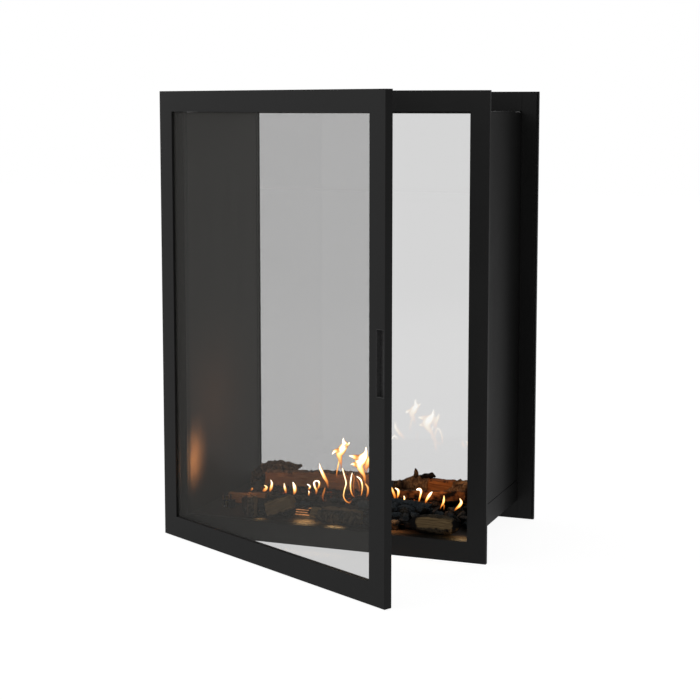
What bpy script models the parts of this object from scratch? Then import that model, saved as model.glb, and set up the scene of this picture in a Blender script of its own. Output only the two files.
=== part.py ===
"""Double-sided gas fireplace with one hinged glass door and one fixed pane.

Metres, +Z up. X runs across the opening, Y runs through the fireplace from the door side to the
fixed side. The origin is the middle of the front frame's bottom edge.
"""

import math
import random

import bmesh
import bpy
from mathutils import Matrix, Vector

# Clearances
GAP = 0.0003                # between faces that seat on each other
OVERRUN = 0.002             # how far a cutting shape runs past the face it opens
HALF_TURN = math.pi
QUARTER_TURN = math.pi / 2

# Frames around the two openings
FRAME_WIDTH = 0.744
FRAME_HEIGHT = 1.000
FRAME_THICKNESS = 0.011
FRAME_EDGE = 0.0005         # small chamfer along every edge
STILE_WIDTH = 0.042
TOP_RAIL = 0.0444
BOTTOM_RAIL = 0.0452
CASE_LENGTH = 0.3915        # from the back of the front frame to the front of the rear frame

# Flanges that the casing is welded to, behind each frame
FLANGE_THICKNESS = 0.008
FLANGE_SIDE_MARGIN = 0.0025
FLANGE_TOP_MARGIN = 0.004
FLANGE_BOTTOM_MARGIN = 0.0092
FLANGE_TOP_RAIL = 0.0485    # the top rail is deeper than the opening's, and laps the sides
FLANGE_SEAM_WIDTH = 0.0012  # upright fold line in the rear flange's face beside the casing
FLANGE_SEAM_DEPTH = 0.0008

# Casing
CASING_SHEET = 0.0015
LINER_SHEET = 0.002
LINER_SETBACK = 0.001       # liner face behind the edge of the opening
SKIRT_BOTTOM = 0.047
SKIRT_TOP = 0.0938
CASING_SEAM = 0.0015        # open seam between a skirt and the side panel above it
CEILING_SHEET = 0.002
FLOOR_SHEET = 0.0014
BASE_SHEET = 0.0015
BASE_INSET = 0.0055         # base pan edge inside the liner's outer face
LINER_FOOT = 0.0012         # how far the liners reach below the top of the floor

# Flue
FLUE_INNER_RADIUS = 0.050
FLUE_OUTER_RADIUS = 0.075
FLUE_WALL = 0.0015
FLUE_HEIGHT = 0.040
FLUE_COLLAR = 0.010
FLUE_BEAD = 0.0012

# Burner, in the middle of the floor
BURNER_END_ROOM = 0.106     # from each end to the liner's face
BURNER_SIDE_ROOM = 0.0439   # from its front and back to the ends of the casing
BURNER_HEIGHT = 0.0305
BURNER_SHEET = 0.0015
BURNER_PLATE_SHEET = 0.0015
LOUVRE_BRIDGE = 0.026       # solid wall between two banks of louvres
LOUVRE_END_ROOM = 0.030
LOUVRE_HEIGHT = 0.0024
LOUVRE_PITCH = 0.0056
LOUVRE_ROWS = 4
LOUVRE_BANKS = 5
PORT_RADIUS = 0.0025
PORT_PITCH = 0.024
PORT_ROWS = 2
PORT_ROW_SPACING = 0.012
PORT_END_ROOM = 0.033
MANIFOLD_RADIUS = 0.006
MANIFOLD_END_ROOM = 0.035
MANIFOLD_HEIGHT = 0.014     # centre above the burner's floor
INLET_RADIUS = 0.005
INLET_BEND = 0.018
INLET_RUN = 0.120
UNION_RADIUS = 0.010
UNION_LENGTH = 0.018

# Ignition unit on the floor
PILOT_END_ROOM = 0.047      # from the burner's end to the middle of the bracket
PILOT_FRONT_ROOM = 0.0659   # from the casing's end to the middle of the bracket
PILOT_BRACKET_LENGTH = 0.034
PILOT_BRACKET_WIDTH = 0.016
PILOT_SHEET = 0.0012
PILOT_HEIGHT = 0.018
PILOT_RADIUS = 0.0038
PILOT_PITCH = 0.010
ELECTRODE_RADIUS = 0.0014

# Levelling feet
FOOT_SIDE_INSET = 0.0925
FOOT_INSET = 0.055
FOOT_PAD_RADIUS = 0.018
FOOT_PAD_HEIGHT = 0.008
FOOT_STUD_RADIUS = 0.005
FOOT_NUT_RADIUS = 0.010
FOOT_NUT_HEIGHT = 0.008

# Fixed pane on the rear side and its seat in the rear frame
GLASS_THICKNESS = 0.004
GLASS_SEAT = 0.010          # how far a pane's gasket reaches behind its frame
SEAL_THICKNESS = 0.0012
SEAL_WIDTH = 0.008
LIP = 0.004                 # frame metal in front of the gasket

# Door leaf
DOOR_OVERHANG = 0.0015      # past each side of the front frame
DOOR_LIFT = 0.002
DOOR_TOP_MARGIN = 0.0002
DOOR_THICKNESS = 0.0188
DOOR_GAP = 0.0024           # closed door to front frame
DOOR_SIDE = 0.0457
DOOR_TOP_RAIL = 0.0447
DOOR_BOTTOM_RAIL = 0.0466
DOOR_OPEN_DEGREES = 28.5
RETAINER_DEPTH = 0.004
ROPE_WIDTH = 0.0079
ROPE_GROOVE_DEPTH = 0.007
ROPE_PROUD = 0.0018
ROPE_OFFSET = 0.0015        # metal between the pane's seat and the rope's groove

# Finger pull in the free stile
PULL_LENGTH = 0.130
PULL_WIDTH = 0.0212
PULL_DEPTH = 0.013
PULL_SHEET = 0.0008
PULL_EDGE_MARGIN = 0.0022   # from the cup's outside to the leaf's edge
PULL_HEIGHT = 0.4805        # centre above the floor

# Catch magnets, let into the back of the leaf
MAGNET_WIDTH = 0.014
MAGNET_LENGTH = 0.040
MAGNET_DEPTH = 0.005
MAGNET_HEIGHT_SHARES = (0.25, 0.75)

# Pivots at the leaf's hidden corner
PIVOT_INSET = 0.005         # axis from the leaf's edge and from its back
PIVOT_HEIGHT_SHARES = (0.11, 0.89)
LUG_RADIUS = 0.0032
LUG_HEIGHT = 0.020
LUG_PLATE_WIDTH = 0.015
LUG_PLATE_SHEET = 0.0018
PIN_RADIUS = 0.0015
PIN_GRIP = 0.008
PIN_CLEARANCE = 0.0003

# Facets of round pieces
FINE = 48
MEDIUM = 24
COARSE = 12

# Worked out from the sizes above
FRAME_FRONT = -FRAME_THICKNESS / 2
FRAME_BACK = FRAME_THICKNESS / 2
REAR_FRONT = FRAME_BACK + CASE_LENGTH
REAR_BACK = REAR_FRONT + FRAME_THICKNESS
OPENING_HALF = FRAME_WIDTH / 2 - STILE_WIDTH
OPENING_TOP = FRAME_HEIGHT - TOP_RAIL
DOOR_WIDTH = FRAME_WIDTH + 2 * DOOR_OVERHANG
DOOR_HEIGHT = FRAME_HEIGHT - DOOR_LIFT - DOOR_TOP_MARGIN
MIDDLE_Y = FRAME_BACK + CASE_LENGTH / 2
PANEL_FRONT = FRAME_BACK + GAP + FLANGE_THICKNESS + GAP
PANEL_BACK = REAR_FRONT - GAP - FLANGE_THICKNESS - GAP
LINER_FACE = OPENING_HALF + LINER_SETBACK
LINER_OUTSIDE = LINER_FACE + LINER_SHEET
CASING_INSIDE = LINER_OUTSIDE + GAP
CASING_OUTSIDE = CASING_INSIDE + CASING_SHEET
FLANGE_HALF = FRAME_WIDTH / 2 - FLANGE_SIDE_MARGIN
FLANGE_TOP = FRAME_HEIGHT - FLANGE_TOP_MARGIN
TOP_PANEL_UNDERSIDE = OPENING_TOP - CASING_SHEET
CEILING_TOP = TOP_PANEL_UNDERSIDE - GAP
CEILING_UNDERSIDE = CEILING_TOP - CEILING_SHEET
FLOOR_TOP = BOTTOM_RAIL
FLOOR_UNDERSIDE = FLOOR_TOP - FLOOR_SHEET
BASE_TOP = FLOOR_UNDERSIDE - GAP
BASE_UNDERSIDE = BASE_TOP - BASE_SHEET
BURNER_END = LINER_FACE - BURNER_END_ROOM
BURNER_FRONT = PANEL_FRONT + BURNER_SIDE_ROOM
BURNER_BACK = PANEL_BACK - BURNER_SIDE_ROOM
BURNER_BOTTOM = FLOOR_TOP + GAP
BURNER_TOP = BURNER_BOTTOM + BURNER_HEIGHT
BURNER_PLATE_TOP = BURNER_TOP + GAP + BURNER_PLATE_SHEET
LOUVRE_BANK_PITCH = 2 * (BURNER_END - LOUVRE_END_ROOM) / LOUVRE_BANKS
LOUVRE_LENGTH = LOUVRE_BANK_PITCH - LOUVRE_BRIDGE
PORTS_PER_ROW = int(2 * (BURNER_END - PORT_END_ROOM + GAP) / PORT_PITCH) + 1
PILOT_X = -BURNER_END - PILOT_END_ROOM
PILOT_Y = PANEL_FRONT + PILOT_FRONT_ROOM
LOG_FLOOR = FLOOR_TOP + GAP
LOG_BURNER = BURNER_PLATE_TOP + GAP
DOOR_BACK = FRAME_FRONT - DOOR_GAP
DOOR_FRONT = DOOR_BACK - DOOR_THICKNESS
PIVOT_X = PIVOT_INSET - DOOR_WIDTH / 2
PIVOT_Y = DOOR_BACK - PIVOT_INSET
POCKET_SIZE = PIVOT_INSET + LUG_RADIUS + GAP + PIN_CLEARANCE


def clear_scene():
    for item in list(bpy.data.objects):
        bpy.data.objects.remove(item, do_unlink=True)


def finish(name, colour, roughness, metallic=0.0, alpha=1.0):
    """A Principled material of one colour, given as linear red, green and blue."""
    made = bpy.data.materials.new(name)
    made.use_nodes = True
    shader = made.node_tree.nodes["Principled BSDF"]
    shader.inputs["Base Color"].default_value = (*colour, 1.0)
    shader.inputs["Roughness"].default_value = roughness
    shader.inputs["Metallic"].default_value = metallic
    shader.inputs["Alpha"].default_value = alpha
    return made


def add_piece(name, shape, surface, at=(0, 0, 0), carrier=None, smooth=False):
    """Puts a bmesh into a named object at a place, on the empty that carries it if it moves."""
    mesh = bpy.data.meshes.new(name)
    shape.to_mesh(mesh)
    shape.free()
    mesh.materials.append(surface)
    piece = bpy.data.objects.new(name, mesh)
    bpy.context.collection.objects.link(piece)
    piece.location = Vector(at)
    if carrier:
        piece.parent = carrier
        piece.location = Vector(at) - carrier.location
    if smooth:
        mesh.shade_smooth()
        mesh.set_sharp_from_angle(angle=HALF_TURN / 6)
    return piece


def carve(piece, shapes, operation="DIFFERENCE"):
    """Cuts each bmesh, given in the piece's own coordinates, out of the piece, or joins it on."""
    cutters = []
    for shape in shapes:
        cutter = add_piece(piece.name + "_cutter", shape, piece.data.materials[0])
        cutter.hide_render = True
        cutter.display_type = "WIRE"
        cutter.parent = piece
        modifier = piece.modifiers.new("carve", "BOOLEAN")
        modifier.operation = operation
        modifier.solver = "EXACT"
        modifier.object = cutter
        cutters.append(cutter)
    bpy.context.view_layer.update()
    seen = piece.evaluated_get(bpy.context.evaluated_depsgraph_get())
    carved = bpy.data.meshes.new_from_object(seen)
    piece.modifiers.clear()
    piece.data = carved
    carved.name = piece.name
    for cutter in cutters:
        bpy.data.objects.remove(cutter, do_unlink=True)
    return piece


def block(size, centre=(0, 0, 0), edge=0.0):
    """A rectangular block, with every edge chamfered if edge is given."""
    shape = bmesh.new()
    place = Matrix.Translation(centre) @ Matrix.Diagonal((*size, 1.0))
    bmesh.ops.create_cube(shape, size=1.0, matrix=place)
    if edge:
        bmesh.ops.bevel(shape, geom=shape.edges[:], offset=edge, segments=1, affect="EDGES")
    return shape


def span(low, high, edge=0.0):
    """A block given by its two opposite corners."""
    size = [b - a for a, b in zip(low, high)]
    centre = [(a + b) / 2 for a, b in zip(low, high)]
    return block(size, centre, edge)


def merged(shapes):
    """Separate bodies in one bmesh."""
    whole = bmesh.new()
    for shape in shapes:
        scratch = bpy.data.meshes.new("scratch")
        shape.to_mesh(scratch)
        shape.free()
        whole.from_mesh(scratch)
        bpy.data.meshes.remove(scratch)
    return whole


def ring_plate(outer, inner, front, back, edge=0.0):
    """A flat rectangular ring. outer and inner are (left, right, bottom, top) in X and Z."""
    shape = bmesh.new()
    loops = []
    for y in (front, back):
        for left, right, bottom, top in (outer, inner):
            corners = ((left, bottom), (right, bottom), (right, top), (left, top))
            loops.append([shape.verts.new((x, y, z)) for x, z in corners])
    front_outer, front_inner, back_outer, back_inner = loops
    for i in range(4):
        j = (i + 1) % 4
        shape.faces.new((front_outer[i], front_outer[j], front_inner[j], front_inner[i]))
        shape.faces.new((back_outer[j], back_outer[i], back_inner[i], back_inner[j]))
        shape.faces.new((front_outer[j], front_outer[i], back_outer[i], back_outer[j]))
        shape.faces.new((front_inner[i], front_inner[j], back_inner[j], back_inner[i]))
    bmesh.ops.recalc_face_normals(shape, faces=shape.faces[:])
    if edge:
        long_edges = [e for e in shape.edges if e.calc_face_angle(0) > QUARTER_TURN / 2
                      and abs(e.verts[0].co.y - e.verts[1].co.y) < GAP]
        bmesh.ops.bevel(shape, geom=long_edges, offset=edge, segments=1, affect="EDGES")
    return shape


def grown(bounds, amount):
    """The rectangle (left, right, bottom, top) made larger by an amount on each side."""
    left, right, bottom, top = bounds
    return (left - amount, right + amount, bottom - amount, top + amount)


def rod(radius, start, end, facets=MEDIUM, end_radius=None):
    """A round bar between two points, tapered if end_radius is given."""
    start, end = Vector(start), Vector(end)
    along = end - start
    turn = along.to_track_quat("Z", "Y").to_matrix().to_4x4()
    shape = bmesh.new()
    bmesh.ops.create_cone(
        shape, cap_ends=True, segments=facets, radius1=radius,
        radius2=radius if end_radius is None else end_radius, depth=along.length,
        matrix=Matrix.Translation((start + end) / 2) @ turn)
    return shape


def turned(profile, facets=FINE):
    """A closed profile of (radius, height) points turned about Z. A side on the axis closes."""
    shape = bmesh.new()
    rows = []
    for i in range(facets):
        angle = 2 * HALF_TURN * i / facets
        rows.append([shape.verts.new((r * math.cos(angle), r * math.sin(angle), z))
                     for r, z in profile])
    count = len(profile)
    for i in range(facets):
        row, following = rows[i], rows[(i + 1) % facets]
        for k in range(count):
            n = (k + 1) % count
            if profile[k][0] or profile[n][0]:
                shape.faces.new((row[k], following[k], following[n], row[n]))
    bmesh.ops.remove_doubles(shape, verts=shape.verts[:], dist=GAP / 10)
    bmesh.ops.recalc_face_normals(shape, faces=shape.faces[:])
    return shape


def prism(outline, low, high):
    """An outline of (x, y) points carried up from one height to another."""
    shape = bmesh.new()
    base = [shape.verts.new((x, y, low)) for x, y in outline]
    face = shape.faces.new(base)
    grown_up = bmesh.ops.extrude_face_region(shape, geom=[face])
    upper = [v for v in grown_up["geom"] if isinstance(v, bmesh.types.BMVert)]
    bmesh.ops.translate(shape, verts=upper, vec=(0, 0, high - low))
    bmesh.ops.recalc_face_normals(shape, faces=shape.faces[:])
    return shape


# Bounds of the openings, as (left, right, bottom, top)
FRAME_OUTER = (-FRAME_WIDTH / 2, FRAME_WIDTH / 2, 0, FRAME_HEIGHT)
FRAME_INNER = (-OPENING_HALF, OPENING_HALF, BOTTOM_RAIL, OPENING_TOP)
FLANGE_OUTER = (-FLANGE_HALF, FLANGE_HALF, FLANGE_BOTTOM_MARGIN, FLANGE_TOP)
DOOR_OUTER = (-DOOR_WIDTH / 2, DOOR_WIDTH / 2, DOOR_LIFT, DOOR_LIFT + DOOR_HEIGHT)
DOOR_INNER = (DOOR_OUTER[0] + DOOR_SIDE, DOOR_OUTER[1] - DOOR_SIDE,
              DOOR_LIFT + DOOR_BOTTOM_RAIL, DOOR_OUTER[3] - DOOR_TOP_RAIL)


def pivot_heights():
    """Middle height of each pivot lug."""
    return [DOOR_LIFT + DOOR_HEIGHT * share for share in PIVOT_HEIGHT_SHARES]


def front_frame(black):
    """The fixed frame, with a shallow recess for each pivot's plate."""
    ring = ring_plate(FRAME_OUTER, FRAME_INNER, FRAME_FRONT, FRAME_BACK, FRAME_EDGE)
    frame = add_piece("front_frame", ring, black)
    left = PIVOT_X - LUG_RADIUS - GAP
    right = PIVOT_X - LUG_RADIUS + LUG_PLATE_WIDTH + GAP
    recesses = [
        span((left, FRAME_FRONT - OVERRUN, z - LUG_HEIGHT / 2 - GAP),
             (right, FRAME_FRONT + LUG_PLATE_SHEET + GAP, z + LUG_HEIGHT / 2 + GAP))
        for z in pivot_heights()]
    return carve(frame, [merged(recesses)])


def rear_frame(black):
    """The rear frame, rebated on its inner side for the fixed pane."""
    ring = ring_plate(FRAME_OUTER, FRAME_INNER, REAR_FRONT, REAR_BACK, FRAME_EDGE)
    frame = add_piece("rear_frame", ring, black)
    left, right, bottom, top = grown(FRAME_INNER, GLASS_SEAT + GAP)
    seat = span((left, REAR_FRONT - OVERRUN, bottom), (right, REAR_BACK - LIP, top))
    return carve(frame, [seat])


def gasket(name, bounds, front, slot_front, back, surface, carrier=None):
    """A U-section strip round the edge of a pane, with the pane's slot open inwards."""
    strip = ring_plate(bounds, grown(bounds, -SEAL_WIDTH), front, back)
    piece = add_piece(name, strip, surface)
    groove_outer = grown(bounds, -SEAL_THICKNESS)
    groove_inner = grown(bounds, -SEAL_WIDTH - OVERRUN)
    groove = ring_plate(groove_outer, groove_inner, slot_front,
                        slot_front + GLASS_THICKNESS + 2 * GAP)
    carve(piece, [groove])
    if carrier:
        hang(piece, carrier)


def pane(name, bounds, slot_front, surface, carrier=None):
    """A sheet of glass with ground edges, in the slot of its gasket."""
    left, right, bottom, top = grown(bounds, -SEAL_THICKNESS - GAP)
    sheet = span((left, slot_front + GAP, bottom),
                 (right, slot_front + GAP + GLASS_THICKNESS, top), FRAME_EDGE)
    add_piece(name, sheet, surface, carrier=carrier)


def fixed_pane(glass, fibre):
    """The fixed pane in its gasket, both inside the rear frame's rebate."""
    bounds = grown(FRAME_INNER, GLASS_SEAT)
    back = REAR_BACK - LIP - GAP
    slot_front = back - SEAL_THICKNESS - GLASS_THICKNESS - 2 * GAP
    gasket("rear_glass_gasket", bounds, REAR_FRONT, slot_front, back, fibre)
    pane("rear_glass", bounds, slot_front, glass)


def fold_lines(front, bottom, top):
    """Cutting bars for the two upright lines in the rear flange's face."""
    return [span((min(near, far), front - OVERRUN, bottom - OVERRUN),
                 (max(near, far), front + FLANGE_SEAM_DEPTH, top + OVERRUN))
            for near, far in ((CASING_OUTSIDE, CASING_OUTSIDE + FLANGE_SEAM_WIDTH),
                              (-CASING_OUTSIDE, -CASING_OUTSIDE - FLANGE_SEAM_WIDTH))]


def flanges(black):
    """The front flange is one ring. The rear one has a deeper top rail over a U."""
    ring = ring_plate(FLANGE_OUTER, FRAME_INNER, FRAME_BACK + GAP, PANEL_FRONT - GAP)
    add_piece("front_flange", ring, black)
    left, right, bottom, top = FLANGE_OUTER
    front, back = PANEL_BACK + GAP, REAR_FRONT - GAP
    rail_bottom = top - FLANGE_TOP_RAIL
    opening_left, opening_right, sill, opening_top = FRAME_INNER
    rail = add_piece("rear_flange_top", span((left, front, rail_bottom), (right, back, top)),
                     black)
    carve(rail, [span((opening_left, front - OVERRUN, rail_bottom - OVERRUN),
                      (opening_right, back + OVERRUN, opening_top))]
          + fold_lines(front, rail_bottom, top))
    lower = add_piece("rear_flange_lower", span((left, front, bottom),
                                                (right, back, rail_bottom - GAP)), black)
    carve(lower, [span((opening_left, front - OVERRUN, sill),
                       (opening_right, back + OVERRUN, rail_bottom + OVERRUN))]
          + fold_lines(front, bottom, rail_bottom))


def casing(black):
    """Thin side panels over separate skirts, and the top panel with the flue's hole."""
    for name, side in (("left", -1), ("right", 1)):
        inside, outside = side * CASING_INSIDE, side * CASING_OUTSIDE
        low, high = min(inside, outside), max(inside, outside)
        skirt = span((low, PANEL_FRONT, SKIRT_BOTTOM), (high, PANEL_BACK, SKIRT_TOP))
        add_piece(name + "_skirt", skirt, black)
        panel = span((low, PANEL_FRONT, SKIRT_TOP + CASING_SEAM),
                     (high, PANEL_BACK, TOP_PANEL_UNDERSIDE - GAP))
        add_piece(name + "_side_panel", panel, black)
    top = span((-CASING_OUTSIDE, PANEL_FRONT, TOP_PANEL_UNDERSIDE),
               (CASING_OUTSIDE, PANEL_BACK, OPENING_TOP))
    panel = add_piece("top_panel", top, black)
    carve(panel, [flue_hole(TOP_PANEL_UNDERSIDE, OPENING_TOP)])


def flue_hole(low, high):
    """Clearance hole for the inner flue pipe through a sheet between two heights."""
    return rod(FLUE_INNER_RADIUS + GAP, (0, MIDDLE_Y, low - OVERRUN),
               (0, MIDDLE_Y, high + OVERRUN), FINE)


def liners(dark):
    """Inner walls and ceiling of the fire chamber."""
    for name, side in (("left_liner", -1), ("right_liner", 1)):
        low, high = sorted((side * LINER_FACE, side * LINER_OUTSIDE))
        wall = span((low, PANEL_FRONT, FLOOR_TOP - LINER_FOOT),
                    (high, PANEL_BACK, CEILING_UNDERSIDE - GAP))
        add_piece(name, wall, dark)
    sheet = span((-LINER_OUTSIDE, PANEL_FRONT, CEILING_UNDERSIDE),
                 (LINER_OUTSIDE, PANEL_BACK, CEILING_TOP))
    ceiling = add_piece("ceiling", sheet, dark)
    carve(ceiling, [flue_hole(CEILING_UNDERSIDE, CEILING_TOP)])


def flue_pipes(steel):
    """Two concentric stub pipes, each with a rolled bead and a collar or a hanging end."""
    top = OPENING_TOP + FLUE_HEIGHT
    r, wall = FLUE_INNER_RADIUS, FLUE_WALL
    low = CEILING_UNDERSIDE
    bead = top - FLUE_COLLAR
    inner = turned([(r - wall, low), (r, low), (r, bead - FLUE_BEAD), (r + FLUE_BEAD, bead),
                    (r, bead + FLUE_BEAD), (r, top), (r - wall, top)])
    add_piece("flue_inner_pipe", inner, steel, at=(0, MIDDLE_Y, 0), smooth=True)
    r = FLUE_OUTER_RADIUS
    low = OPENING_TOP + GAP
    outer = turned([(r - wall, low), (r + FLUE_COLLAR, low), (r + FLUE_COLLAR, low + wall),
                    (r, low + wall), (r, bead - FLUE_BEAD), (r + FLUE_BEAD, bead),
                    (r, bead + FLUE_BEAD), (r, top), (r - wall, top)])
    add_piece("flue_outer_pipe", outer, steel, at=(0, MIDDLE_Y, 0), smooth=True)


def inlet_hole(low, high):
    """Clearance hole for the gas pipe through a sheet between two heights."""
    return rod(INLET_RADIUS + GAP, (0, MIDDLE_Y, low - OVERRUN), (0, MIDDLE_Y, high + OVERRUN))


def foot_places():
    side = LINER_OUTSIDE - BASE_INSET - FOOT_SIDE_INSET
    for x in (-side, side):
        for y in (PANEL_FRONT + FOOT_INSET, PANEL_BACK - FOOT_INSET):
            yield x, y


def floors(black, dark):
    """The fire chamber's floor, on a base pan with a welded nut for each foot."""
    floor = add_piece("floor_plate", span((GAP - LINER_FACE, PANEL_FRONT, FLOOR_UNDERSIDE),
                                          (LINER_FACE - GAP, PANEL_BACK, FLOOR_TOP)), dark)
    carve(floor, [inlet_hole(FLOOR_UNDERSIDE, FLOOR_TOP)])
    half = LINER_OUTSIDE - BASE_INSET
    pan = add_piece("base_pan", span((-half, PANEL_FRONT, BASE_UNDERSIDE),
                                     (half, PANEL_BACK, BASE_TOP)), black)
    nuts, bores = [], []
    for x, y in foot_places():
        low = BASE_UNDERSIDE - FOOT_NUT_HEIGHT
        nuts.append(rod(FOOT_NUT_RADIUS, (x, y, low), (x, y, BASE_UNDERSIDE + BASE_SHEET / 2), 6))
        bores.append(rod(FOOT_STUD_RADIUS + GAP, (x, y, low - OVERRUN),
                         (x, y, BASE_UNDERSIDE), COARSE))
    carve(pan, [merged(nuts)], "UNION")
    carve(pan, [merged(bores), inlet_hole(BASE_UNDERSIDE, BASE_TOP)])


def feet(steel):
    """Levelling feet: a round pad pressed onto a stud that screws into the base pan's nut."""
    top = BASE_UNDERSIDE - GAP
    for number, (x, y) in enumerate(foot_places(), 1):
        foot = turned([(0.0, 0.0), (FOOT_PAD_RADIUS, 0.0),
                       (FOOT_PAD_RADIUS, FOOT_PAD_HEIGHT / 2),
                       (FOOT_STUD_RADIUS * 2, FOOT_PAD_HEIGHT),
                       (FOOT_STUD_RADIUS, FOOT_PAD_HEIGHT), (FOOT_STUD_RADIUS, top),
                       (0.0, top)], COARSE)
        add_piece(f"levelling_foot_{number}", foot, steel, at=(x, y, 0))


def louvre_cutters():
    """Banks of level slots through the burner box's front and back walls."""
    middle = (LOUVRE_ROWS - 1) / 2
    height = BURNER_BOTTOM + BURNER_HEIGHT / 2
    slots = []
    for bank in range(LOUVRE_BANKS):
        x = (bank - (LOUVRE_BANKS - 1) / 2) * LOUVRE_BANK_PITCH
        for row in range(LOUVRE_ROWS):
            z = height + (row - middle) * LOUVRE_PITCH
            for y in (BURNER_FRONT, BURNER_BACK):
                slots.append(block((LOUVRE_LENGTH, 2 * OVERRUN + BURNER_SHEET, LOUVRE_HEIGHT),
                                   (x, y, z)))
    return merged(slots)


def burner(dark, steel):
    """A folded steel box with air louvres, under a plate with two rows of flame ports."""
    half, low_y, high_y = BURNER_END, BURNER_FRONT, BURNER_BACK
    outside = span((-half, low_y, BURNER_BOTTOM), (half, high_y, BURNER_TOP))
    box = add_piece("burner_box", outside, dark)
    hollow = span((BURNER_SHEET - half, low_y + BURNER_SHEET, BURNER_BOTTOM + BURNER_SHEET),
                  (half - BURNER_SHEET, high_y - BURNER_SHEET, BURNER_TOP + OVERRUN))
    hole = inlet_hole(BURNER_BOTTOM, BURNER_BOTTOM + BURNER_SHEET)
    carve(box, [hollow, louvre_cutters(), hole])
    plate = add_piece("burner_plate", span((-half, low_y, BURNER_TOP + GAP),
                                           (half, high_y, BURNER_PLATE_TOP)), dark)
    ports = []
    for row in range(PORT_ROWS):
        y = MIDDLE_Y + (row - (PORT_ROWS - 1) / 2) * PORT_ROW_SPACING
        for k in range(PORTS_PER_ROW):
            x = (k - (PORTS_PER_ROW - 1) / 2) * PORT_PITCH
            ports.append(rod(PORT_RADIUS, (x, y, BURNER_TOP - OVERRUN),
                             (x, y, BURNER_PLATE_TOP + OVERRUN), COARSE // 2))
    carve(plate, [merged(ports)])
    height = BURNER_BOTTOM + BURNER_SHEET + MANIFOLD_HEIGHT
    run = BURNER_END - MANIFOLD_END_ROOM
    tube = rod(MANIFOLD_RADIUS, (-run, MIDDLE_Y, height), (run, MIDDLE_Y, height), COARSE)
    add_piece("gas_manifold", tube, steel, smooth=True)


def gas_inlet(steel, brass):
    """The supply pipe from its union under the base, round one bend, up to the manifold."""
    top = BURNER_BOTTOM + BURNER_SHEET + MANIFOLD_HEIGHT - MANIFOLD_RADIUS - GAP
    low = BASE_UNDERSIDE / 2
    bend = min(INLET_BEND, BASE_UNDERSIDE - low)
    points = [Vector((0, MIDDLE_Y, top)), Vector((0, MIDDLE_Y, low + bend))]
    steps = 6
    for i in range(1, steps + 1):
        angle = QUARTER_TURN * i / steps
        points.append(Vector((bend * (1 - math.cos(angle)), MIDDLE_Y,
                              low + bend * (1 - math.sin(angle)))))
    points.append(Vector((INLET_RUN, MIDDLE_Y, low)))
    curve = bpy.data.curves.new("gas_inlet_pipe", "CURVE")
    curve.dimensions = "3D"
    curve.bevel_depth = INLET_RADIUS
    curve.bevel_resolution = 2
    curve.use_fill_caps = True
    spline = curve.splines.new("POLY")
    spline.points.add(len(points) - 1)
    for target, point in zip(spline.points, points):
        target.co = (*point, 1.0)
    curve.materials.append(steel)
    pipe = bpy.data.objects.new("gas_inlet_pipe", curve)
    bpy.context.collection.objects.link(pipe)
    start = INLET_RUN + GAP
    nut = rod(UNION_RADIUS, (start, MIDDLE_Y, low), (start + UNION_LENGTH, MIDDLE_Y, low), 6)
    add_piece("gas_union", nut, brass)


def pilot(steel, ceramic, brass):
    """Ignition unit: an angle bracket with the pilot tube, the spark electrode and the flame
    sensor through it."""
    x, y = PILOT_X, PILOT_Y
    half, deep = PILOT_BRACKET_LENGTH / 2, PILOT_BRACKET_WIDTH / 2
    shelf = FLOOR_TOP + GAP + PILOT_HEIGHT
    top = span((x - half, y - deep, shelf), (x + half, y + deep, shelf + PILOT_SHEET))
    wall = span((x - half, y + deep - PILOT_SHEET, FLOOR_TOP + GAP),
                (x + half, y + deep, shelf + PILOT_SHEET / 2))
    bracket = add_piece("pilot_bracket", top, steel)
    carve(bracket, [wall], "UNION")
    places = [(x + (k - 1) * PILOT_PITCH, y - PILOT_SHEET / 2) for k in range(3)]
    radii = (ELECTRODE_RADIUS, PILOT_RADIUS, ELECTRODE_RADIUS)
    holes = [rod(r + GAP, (px, py, shelf - OVERRUN), (px, py, shelf + PILOT_SHEET + OVERRUN),
                 COARSE) for r, (px, py) in zip(radii, places)]
    carve(bracket, [merged(holes)])
    names = ("spark_electrode", "pilot_burner", "flame_sensor")
    surfaces = (ceramic, brass, steel)
    rises = (PILOT_HEIGHT, PILOT_HEIGHT * 0.6, PILOT_HEIGHT * 0.8)
    for name, surface, r, rise, (px, py) in zip(names, surfaces, radii, rises, places):
        stem = rod(r, (px, py, FLOOR_TOP + 2 * GAP), (px, py, shelf + rise), COARSE)
        add_piece(name, stem, surface, smooth=True)


# Logs: what each lies on, its two ends as shares of that bed (across, deep), its radius and its
# bend as shares, and a seed
LOG_RADIUS = 0.020
LOGS = {
    "long_log_left": ("burner", (-0.987, 0.440), (0.178, 0.553), 1.050, 0.10, 1),
    "back_log_left": ("burner", (-1.298, 0.721), (-0.556, 0.752), 0.800, -0.10, 2),
    "small_log_left": ("left_floor", (0.623, 0.234), (0.085, 0.234), 0.700, 0.0, 3),
    "split_log_front": ("front_floor", (-0.676, 0.499), (-0.356, 0.522), 0.925, 0.0, 4),
    "charcoal_log_left": ("burner", (-0.667, 0.087), (-0.089, 0.101), 0.600, 0.12, 5),
    "charcoal_log_front": ("front_floor", (-0.267, 0.499), (0.320, 0.522), 0.975, 0.06, 6),
    "charcoal_log_right": ("burner", (0.378, 0.105), (0.956, 0.126), 0.625, -0.10, 7),
    "grey_log_front": ("front_floor", (0.782, 0.522), (1.182, 0.522), 0.950, 0.06, 8),
    "long_log_right": ("burner", (0.467, 0.431), (1.164, 0.461), 0.800, 0.10, 9),
    "bark_log_right": ("burner", (0.364, 0.646), (0.951, 0.670), 1.025, -0.06, 10),
    "end_log_right": ("right_floor", (0.236, 0.663), (0.858, 0.677), 1.500, 0.0, 11),
}
LOG_SIDES = 12
LOG_RINGS = 7
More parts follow.
